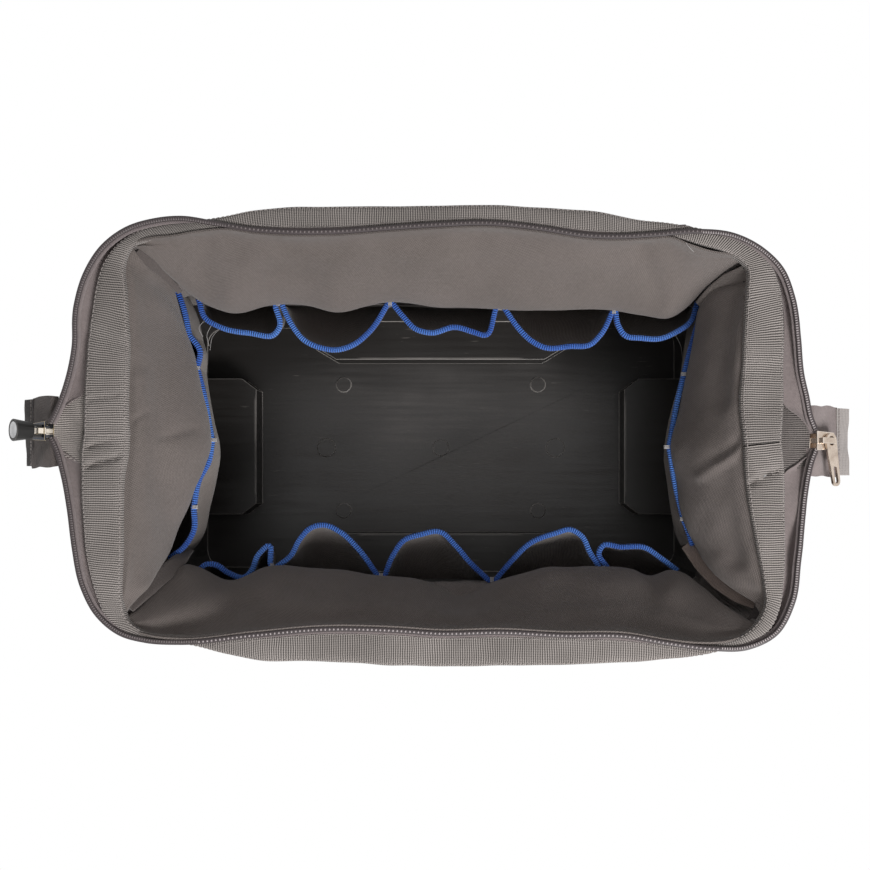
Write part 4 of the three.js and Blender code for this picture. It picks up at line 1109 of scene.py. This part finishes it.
# Where the tape lies outwards, between its turns at the corners
rails = {"back": (-126, 166), "front": (-146, 178)}
outermost = 0.98  # share of the turn from which the stitches and the groove show


def toothRings(places, sizes, drops):
    # A tooth's rings, each with its place across the chain, its size and its height
    turn = np.linspace(0, 2 * np.pi, coil["sides"], endpoint=False)
    ring = np.stack([np.cos(turn), 0 * turn, np.sin(turn)], axis=1)
    centres = np.stack([0 * places, places, drops], axis=1)
    return ring[None] * sizes[:, None, None] + centres[:, None]


# The rounded head of one turn of the coil, and its two legs as a bar over the tape's edge
places = np.array([-0.75, -0.35, 0.35, 0.75])
toothHead = toothRings(places, np.array([0.35, 0.72, 0.72, 0.35]), 0 * places + 0.75)
places = np.array([1.0, 0.45, -0.35, -0.8, -1.05]) * coil["reach"]
sizes = np.array([0.6, 1.0, 1.0, 1.2, 0.5]) * coil["bar"]
toothLegs = toothRings(places, sizes, np.array([-0.5, 0.3, 0.6, 0.4, -0.1]))


def onRails(side, x):
    # 1 where the tape lies outwards, 0 past its turns, and a smooth step between
    low, high = rails[side]
    return ease(low - tape["turn"], low, x) * (1 - ease(high, high + tape["turn"], x))


def addTeeth(kind, side, path, pitch, shape):
    # Heads show in the middle of the chain on the rails, and legs across it round the ends
    at = curve(path, int(runLength(path)[-1] / pitch))
    ahead = unit(np.gradient(at, axis=0)) * (1 if side == "back" else -1)
    railed = onRails(side, at[:, 0]) > 0.5
    shown = {"left": ~railed & (at[:, 0] < 0), "right": ~railed & (at[:, 0] > 0)}
    if kind == "heads":
        shown = {"rail": railed}
    for tag, chosen in shown.items():
        # The legs round the left ends and the heads along the back rail take the darker copy, as painted
        # shade
        nylon = shadedNylon if tag == "left" or (side, tag) == ("back", "rail") else coilNylon
        name = f"coil_{kind}_{side}_{tag}"
        studs(name, shape, at[chosen], ahead[chosen], upwards, "frame_" + side, nylon, "zipper_coil")


coilLines = {}
for side, pixels in zipperPixels.items():
    body = "frame_" + side
    path = curve(onPlane(pixels, coil["edgeZ"]), coil["points"])
    path[:, 2] = hingeZ + np.minimum(coil["climb"] * np.abs(path[:, 1]) - coil["start"], coil["railRise"])
    coilLines[side] = path
    addTeeth("heads", side, path, coil["pitch"], toothHead)
    addTeeth("legs", side, path, coil["legPitch"], toothLegs)
    # The core cord is real; its dark colour is painted shade showing in the gaps between the turns
    section = rounded(coil["coreWide"], coil["coreHigh"], 2.4, 12)
    piece = band("coil_core_" + side, path, section, body, shadedCoilCore, "zipper_coil")
    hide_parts("zipper_coil_" + side)
    # The tape lies outwards on the rails, twists at the corners and lies inwards at the ends
    outward = np.cross(unit(np.gradient(path, axis=0)), upwards) * (-1 if side == "back" else 1)
    railed = onRails(side, path[:, 0])[:, None]
    turned = np.pi * (1 - railed)
    towards = outward * np.cos(turned) + downwards * np.sin(turned)
    wide = tape["endWide"] + (tape["wide"] - tape["endWide"]) * railed
    lowered = path + downwards * tape["drop"]
    across = np.linspace(-tape["under"], 1, tape["columns"])[:, None, None]
    grid = lowered[None] + towards[None] * across * wide[None]
    grid = grid + upwards * (np.sin(np.pi * np.clip(across, 0, 1)) * tape["crown"])
    far = grid + downwards * tape["thick"] + outward[None] * np.sin(turned)[None] * tape["thick"]
    uv = np.stack([runLength(grid, 1), runLength(grid, 0)], axis=-1)
    piece = solid("tape_" + side, *slab(grid, far, uv=uv), body, tapeCloth, "zipper_tape")
    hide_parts("zipper_tape_" + side)
    shown = railed[:, 0] > outermost
    line = (lowered + towards * wide * tape["stitchAt"] + upwards * tape["stitchUp"])[shown]
    count = int(runLength(line)[-1] / tape["stitchApart"])
    stitchRow("tape_stitches_" + side, line, count, tape["stitch"], upwards, body, "zipper_tape")
    # A dark rod in the groove between the tape and the sleeve: painted shade in that gap
    line = (lowered + towards * (wide + tape["grooveOut"]) + downwards * tape["grooveOut"])[shown]
    taper = np.sin(np.pi * np.linspace(0.02, 0.98, len(line)))[:, None, None] ** 0.3
    section = rounded(*tape["groove"], 2, 8) * taper
    band("tape_groove_shade_" + side, line, section, body, edgeCloth, "zipper_tape")
print("stage: zipper made")

# Gussets: cloth from each leg's sleeve out to the coil, sewn aslant to a ribbed patch that
# runs from under the sleeve to the slider
gusset = {"thick": 0.7, "sag": 1.6, "drop": 2.6, "rows": 14, "columns": 120, "usualZ": 207}
gussetLines = {
    "back_left": [
        (58, 412, 204.5), (70, 402, 205), (84, 393, 206), (86, 376), (92, 320), (99, 280), (109, 258),
        (131, 241), (160, 229, 208), (184, 224, 209),
    ],
    "back_right": [
        (812, 431, 204.5), (800, 417, 205), (784, 404, 206), (783, 376), (782, 300), (777, 280), (766, 264),
        (750, 251), (728, 242, 208),
    ],
    "front_left": [
        (58, 450, 204.5), (68, 456, 205), (80, 464, 206), (83, 480), (84, 530), (91, 573), (100, 599),
        (110, 618), (130, 633, 208), (154, 639, 209),
    ],
    "front_right": [
        (809, 456, 204.5), (798, 464, 205), (785, 473, 206), (784, 500), (784, 548), (783, 585), (779, 606),
        (768, 630), (746, 643, 208),
    ],
}
for tag, line in gussetLines.items():
    side, end = tag.split("_")
    inner = curve(traced(line, gusset["usualZ"]), gusset["columns"])
    path = coilLines[side]
    cut = int(np.linalg.norm(path[:, :2] - inner[-1, :2], axis=1).argmin())
    leg = path[:cut + 1] if end == "left" else path[cut:][::-1]
    outer = curve(leg, gusset["columns"]) + downwards * gusset["drop"]
    share = np.linspace(0, 1, gusset["rows"])[:, None, None]
    grid = inner + (outer - inner) * share
    dip = np.sin(np.pi * share) * gusset["sag"] * (1 + 0.5 * waves(grid, 45, 81)[..., None])
    grid = grid + downwards * dip
    piece = sheet("gusset_" + tag, grid, gusset["thick"], "frame_" + side, gussetCloth, "wall_fabric")
    declare(grid)
# A patch has its four corners in the picture, with heights
patch = {"thick": 0.9, "sag": 1.2, "ripple": 0.3, "rippleSize": 14, "seed": 83, "across": 60, "along": 40}
patchCorners = {
    "left": [(86, 392, 205.5), (82, 464, 205.5), (54.6, 411, 203), (54.6, 452, 203)],
    "right": [(776, 395, 205.3), (776, 481, 205.3), (809.4, 422, 202.6), (809.4, 463, 202.6)],
}
# The right patch takes the darker copy of the webbing, as painted shade near its slider
patchFinish = {"left": patchCloth, "right": shadedPatchCloth}
for end, corners in patchCorners.items():
    a, b, c, d = traced(corners)
    u = np.linspace(0, 1, patch["across"])[None, :, None]
    v = np.linspace(0, 1, patch["along"])[:, None, None]
    grid = (a * (1 - v) + b * v) * (1 - u) + (c * (1 - v) + d * v) * u
    ripple = patch["ripple"] * waves(grid, patch["rippleSize"], patch["seed"])[..., None]
    grid = grid + downwards * (np.sin(np.pi * u) * patch["sag"] + ripple)
    uv = np.stack([grid[..., 1], grid[..., 0]], axis=-1)
    piece = sheet("patch_" + end, grid, patch["thick"], "bag", patchFinish[end], "webbing", uv)
    declare(grid)
print("stage: gussets made")

# Zipper tails: the tapes and webbing beyond each slider, on a slope, with a few waves
tails = {
    "left": {
        "sign": -1, "mouthX": 259, "y": 3, "slope": 42, "cloth": darkCloth, "web": darkWebCloth, "seed": 91,
    },
    "right": {
        "sign": 1, "mouthX": 254, "y": -3.5, "slope": 32, "cloth": gussetCloth, "web": fineWebCloth,
        "seed": 95,
    },
}
tail = {
    "half": 24, "start": -5, "seam": 24, "inner": 3.4, "sliderGap": 1.6, "reach": 286, "mouthZ": 203.4,
    "levelRise": 0.3, "thick": 0.9, "wave": 0.9, "ragged": 0.7, "under": 1.5,
    "coilFrom": 17.4, "coilUp": 0.6, "coilSize": [0.8, 1.4, 1],
    "webHalf": 23, "webHalfThick": 1.4, "curl": 0.8, "webRagged": 0.5, "edge": 1.5,
    "stitches": 18, "stitchOut": 2.2, "stitchUp": 1.6, "stitch": (2.1, 0.8, 0.7),
}


def tailAxes(look):
    # Where a tail starts, its level stretch, its way down the slope and the way it faces
    slope = math.radians(look["slope"])
    origin = np.array([look["sign"] * look["mouthX"], look["y"], tail["mouthZ"]])
    level = np.array([look["sign"], 0, tail["levelRise"]])
    along = np.array([look["sign"] * math.cos(slope), 0, -math.sin(slope)])
    face = np.array([look["sign"] * math.sin(slope), 0, math.cos(slope)])
    return origin, level, along, face


def onTail(axes, x, y, z):
    # Level as far as the slider's mouth, then down the slope
    origin, level, along, face = axes
    run = np.minimum(x, 0)[..., None] * level + np.maximum(x, 0)[..., None] * along
    return origin + run + y[..., None] * np.array([0, 1.0, 0]) + z[..., None] * face


for end, look in tails.items():
    axes = tailAxes(look)
    along, face = axes[2:]
    seed = look["seed"]
    length = (tail["reach"] - 1 - look["mouthX"]) / math.cos(math.radians(look["slope"]))
    for half, sign in (("back", 1), ("front", -1)):
        xs = np.linspace(tail["start"], tail["seam"] + tail["under"], 34)
        x, y = np.meshgrid(xs, np.linspace(0, 1, 26), indexing="ij")
        inner = tail["inner"] + tail["sliderGap"] * (1 - ease(8, 15, x))
        y = inner + (tail["half"] - inner) * y
        flat = np.stack([x, sign * y, 0 * x], axis=-1)
        lift = waves(flat, 22, seed + sign) * tail["wave"] * ease(3, 12, y)
        edge = y + tail["ragged"] * waves(flat, 17, seed + 5) * ease(18, 24, y)
        grid = onTail(axes, x, sign * edge, lift)
        piece = sheet(f"tail_cloth_{end}_{half}", grid, tail["thick"], "bag", look["cloth"], "pocket_fabric")
        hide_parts("zipper_tail_" + end)
        declare(grid)
    xs, ys = np.linspace(tail["seam"], length, 24), np.linspace(-tail["webHalf"], tail["webHalf"], 70)
    x, y = np.meshgrid(xs, ys, indexing="ij")
    flat = np.stack([0 * x, y, 0 * x], axis=-1)
    curl = waves(flat, 26, seed + 9) * tail["curl"] * ease(tail["seam"], length, x)
    ragged = tail["webRagged"] * waves(flat, 20, seed + 12)
    edge = x + ragged * (x - tail["seam"]) / (length - tail["seam"])
    top = onTail(axes, edge, y, tail["webHalfThick"] + curl)
    bottom = onTail(axes, edge, y, curl - tail["webHalfThick"])
    web = slab(top, bottom, uv=np.stack([x, y], axis=-1))
    piece = solid("tail_web_" + end, *web, "bag", look["web"], "webbing")
    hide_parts("tail_webbing_" + end)
    places = np.arange(tail["coilFrom"], tail["seam"] - 1, coil["pitch"] / 2)
    turnSide = np.where(np.arange(len(places)) % 2 == 0, 1.0, -1.0)
    at = onTail(axes, places, 0 * places, 0 * places + tail["coilUp"])
    shape = toothLegs * tail["coilSize"]
    ahead = along * turnSide[:, None]
    piece = studs("tail_teeth_" + end, shape, at, ahead, face, "bag", coilNylon, "zipper_coil")
    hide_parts("tail_coil_" + end)
    edge = np.linspace(-1, 1, tail["stitches"]) * (tail["webHalf"] - tail["edge"])
    at = onTail(axes, 0 * edge + tail["seam"] + tail["stitchOut"], edge, 0 * edge + tail["stitchUp"])
    ahead = np.broadcast_to([0, 1.0, 0], at.shape)
    studs("tail_stitches_" + end, bead(*tail["stitch"]), at, ahead, face, "bag", stitchThread, "webbing")
print("stage: tails made")

# End straps: webbing from under each patch down the end wall to the tray
endStrap = {
    "width": 30, "thick": 2, "points": 90,
    "line": [(237, 199.5), (248, 198), (249, 190), (240, 155), (228, 118), (220.5, 94)],
}
for end, look in tails.items():
    path = curve([(look["sign"] * x, look["y"], z) for x, z in endStrap["line"]], endStrap["points"])
    section = rounded(endStrap["thick"], endStrap["width"], 6, 28)
    piece = band("side_strap_" + end, path, section, "bag", webCloth, "webbing", (0, 1, 0))
    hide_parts("end_strap_" + end)

# Handles: a webbing loop on each long side, with a padded grip, sewn into anchors
handle = {
    "halfSpan": 75, "width": 25, "thick": 2.4, "y": 121.5, "pivotZ": 142, "straightZ": 110, "foot": 46,
    "bend": 30, "points": 150, "stitchAt": 0.4, "stitchApart": 3.2, "stitch": (2.3, 0.8, 0.7),
}
grip = {
    "half": 46, "width": 33, "thick": 12, "points": 90, "sides": 40, "crown": 0.2, "lumps": 0.015,
    "seam": 0.12, "seamWide": 0.08, "play": 1.2, "fill": 0.8,
}
anchor = {
    "width": 25, "thick": 2.2, "foot": 95, "top": 138, "loopY": 117.9, "loopZ": 144, "off": 1.4,
    "points": 50, "stitch": (2.1, 0.8, 0.8), "boxHalf": 9, "boxFrom": 4, "boxTo": 26, "boxStitches": 8,
}
# The corners of a square of stitches with a cross in it, across and up, as they are sewn
boxOrder = [(-1, 0), (1, 0), (1, 1), (-1, 1), (-1, 0), (1, 1), (1, 0), (-1, 1)]


def handleLine():
    # Down from the right pivot, round the bend and along the foot, and the same mirrored
    corner = handle["halfSpan"] - handle["bend"]
    line = [(handle["halfSpan"], handle["pivotZ"]), (handle["halfSpan"], handle["straightZ"])]
    for turn in np.radians(np.linspace(0, 90, 9)):
        z = handle["foot"] + handle["bend"] * (1 - math.sin(turn))
        line.append((corner + handle["bend"] * math.cos(turn), z))
    line.append((corner * 0.5, handle["foot"] - 0.4))
    return line + [(0, handle["foot"] - 0.6)] + [(-x, z) for x, z in reversed(line)]


def gripGrids(sign):
    # Foam wrapped in cloth round the strap, crowned between its ends, with a seam on its top
    t = np.linspace(-1, 1, grip["points"])
    along = np.stack([t * grip["half"], 0 * t + sign * handle["y"], 0 * t + handle["foot"]], axis=1)
    crown = 1 - grip["crown"] * np.abs(t) ** 5 + grip["lumps"] * np.sin(t * 23)
    ring = rounded(1, 1, 3, grip["sides"])
    dip = np.exp(-(((ring[:, 1] - 0.5) / grip["seamWide"]) ** 2)) * (np.abs(ring[:, 0]) < 0.2)
    section = ring * (1 - grip["seam"] * dip)[:, None] * [grip["width"], grip["thick"]]
    near = carry(along, section[None] * crown[:, None, None], (0, 1, 0))
    hole = rounded(handle["width"] + grip["play"], handle["thick"] + grip["play"], 6, grip["sides"])
    return near, carry(along, hole, (0, 1, 0))


def anchorPath(x, sign):
    # Up the wall, drawn in as it is, and out to the handle's pivot
    heights = np.linspace(anchor["foot"], anchor["top"], 12)
    level = levelAt(outerLevels, heights)
    sag = level[:, 4] * np.cos(np.pi / 2 * abs(x) / (level[:, 0] - level[:, 2])) ** 2
    wall = level[:, 1] - sag + anchor["off"] + anchor["thick"]
    points = [(x, sign * y, z) for y, z in zip(wall, heights)]
    return curve(points + [(x, sign * anchor["loopY"], anchor["loopZ"])], anchor["points"])


def boxStitches(name, path, x, sign):
    # The stitches over an anchor's foot
    ends = (anchor["foot"] + anchor["boxFrom"], anchor["foot"] + anchor["boxTo"])
    box = [(anchor["boxHalf"] * across, ends[up]) for across, up in boxOrder]
    count = anchor["boxStitches"]
    lines = [np.linspace(a, b, count, endpoint=False) for a, b in zip(box, box[1:])]
    flat = np.concatenate(lines)
    depth = np.interp(flat[:, 1], path[:, 2], np.abs(path[:, 1])) + anchor["thick"] / 2
    at = np.stack([x + flat[:, 0], sign * depth, flat[:, 1]], axis=1)
    ahead = np.concatenate([np.repeat(line[1:2] - line[:1], count, axis=0) for line in lines])
    ahead = np.stack([ahead[:, 0], 0 * ahead[:, 0], ahead[:, 1]], axis=1)
    studs(name, bead(*anchor["stitch"]), at, ahead, (0, sign, 0), "bag", stitchThread, "webbing")


for side, sign in (("back", 1), ("front", -1)):
    body = "handle_" + side
    path = curve([(x, sign * handle["y"], z) for x, z in handleLine()], handle["points"])
    section = rounded(handle["width"], handle["thick"], 6, 28)
    piece = band("carry_strap_" + side, path, section, body, webCloth, "webbing", (0, 1, 0))
    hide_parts("handle_" + side)
    for place, share in (("upper", handle["stitchAt"]), ("lower", -handle["stitchAt"])):
        edge = carry(path, [(handle["width"] * share, sign * handle["thick"] / 2)], (0, 1, 0))[:, 0]
        edge[:, 1] = sign * (handle["y"] + handle["thick"] / 2)
        count = int(runLength(edge)[-1] / handle["stitchApart"])
        name = f"carry_stitches_{side}_{place}"
        stitchRow(name, edge, count, handle["stitch"], (0, sign, 0), body, "webbing")
    near, hole = gripGrids(sign)
    piece = solid("grip_pad_" + side, *slab(near, hole, wrap=True), body, darkCloth, "pocket_fabric")
    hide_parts("handle_grip_" + side)
    for end, x in (("left", -handle["halfSpan"]), ("right", handle["halfSpan"])):
        path = anchorPath(x, sign)
        section = rounded(anchor["thick"], anchor["width"], 6, 28)[:, ::-1]
        piece = band(f"anchor_{side}_{end}", path, section, "bag", webCloth, "webbing", (0, 1, 0))
        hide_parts(f"handle_anchor_{side}_{end}")
        boxStitches(f"anchor_stitches_{side}_{end}", path, x, sign)
print("stage: handles made")

# Floor and light. The camera sees the floor and the room as plain white, and what lights the
# bag is greyer.
floor = {"grey": 0.86, "rough": 0.9, "half": 4.0}
light = {"world": 0.3, "place": (0.65, -1.0, 1.25), "aim": (0, 0, 0.15), "size": 0.6, "power": 28}


def seenRays(tree):
    # 1 for what the camera sees, straight or in a glossy surface, and 0 for what lights things
    ray = tree.nodes.new("ShaderNodeLightPath")
    either = tree.nodes.new("ShaderNodeMath")
    either.operation = "MAXIMUM"
    tree.links.new(ray.outputs["Is Camera Ray"], either.inputs[0])
    tree.links.new(ray.outputs["Is Glossy Ray"], either.inputs[1])
    return either.outputs[0]


finish = Finish("floor")
finish.done(Base_Color=(floor["grey"], floor["grey"], floor["grey"], 1), Roughness=floor["rough"])
tree = finish.tree
white = finish.add("Emission", {"Color": (1, 1, 1, 1), "Strength": 1.0})
blend = finish.add("MixShader")
tree.links.new(seenRays(tree), blend.inputs[0])
tree.links.new(finish.shader.outputs[0], blend.inputs[1])
tree.links.new(white.outputs[0], blend.inputs[2])
tree.links.new(blend.outputs[0], tree.nodes["Material Output"].inputs[0])
mesh = bpy.data.meshes.new("ground")
half = floor["half"]
corners = [(-half, -half, 0), (half, -half, 0), (half, half, 0), (-half, half, 0)]
mesh.from_pydata(corners, [], [(0, 1, 2, 3)])
mesh.materials.append(finish.material)
ground = bpy.data.objects.new("ground", mesh)
bpy.context.collection.objects.link(ground)

world = bpy.data.worlds.new("room")
world.use_nodes = True
tree = world.node_tree
strength = tree.nodes.new("ShaderNodeMapRange")
strength.inputs["To Min"].default_value = light["world"]
tree.links.new(seenRays(tree), strength.inputs["Value"])
tree.links.new(strength.outputs[0], tree.nodes["Background"].inputs[1])
tree.nodes["Background"].inputs[0].default_value = (1, 1, 1, 1)
bpy.context.scene.world = world
key = bpy.data.lights.new("key", "AREA")
key.size = light["size"]
key.energy = light["power"]
lamp = bpy.data.objects.new("key", key)
lamp.location = light["place"]
towards = Vector(light["aim"]) - Vector(light["place"])
lamp.rotation_euler = towards.to_track_quat("-Z", "Y").to_euler()
bpy.context.collection.objects.link(lamp)
print("stage: light set")
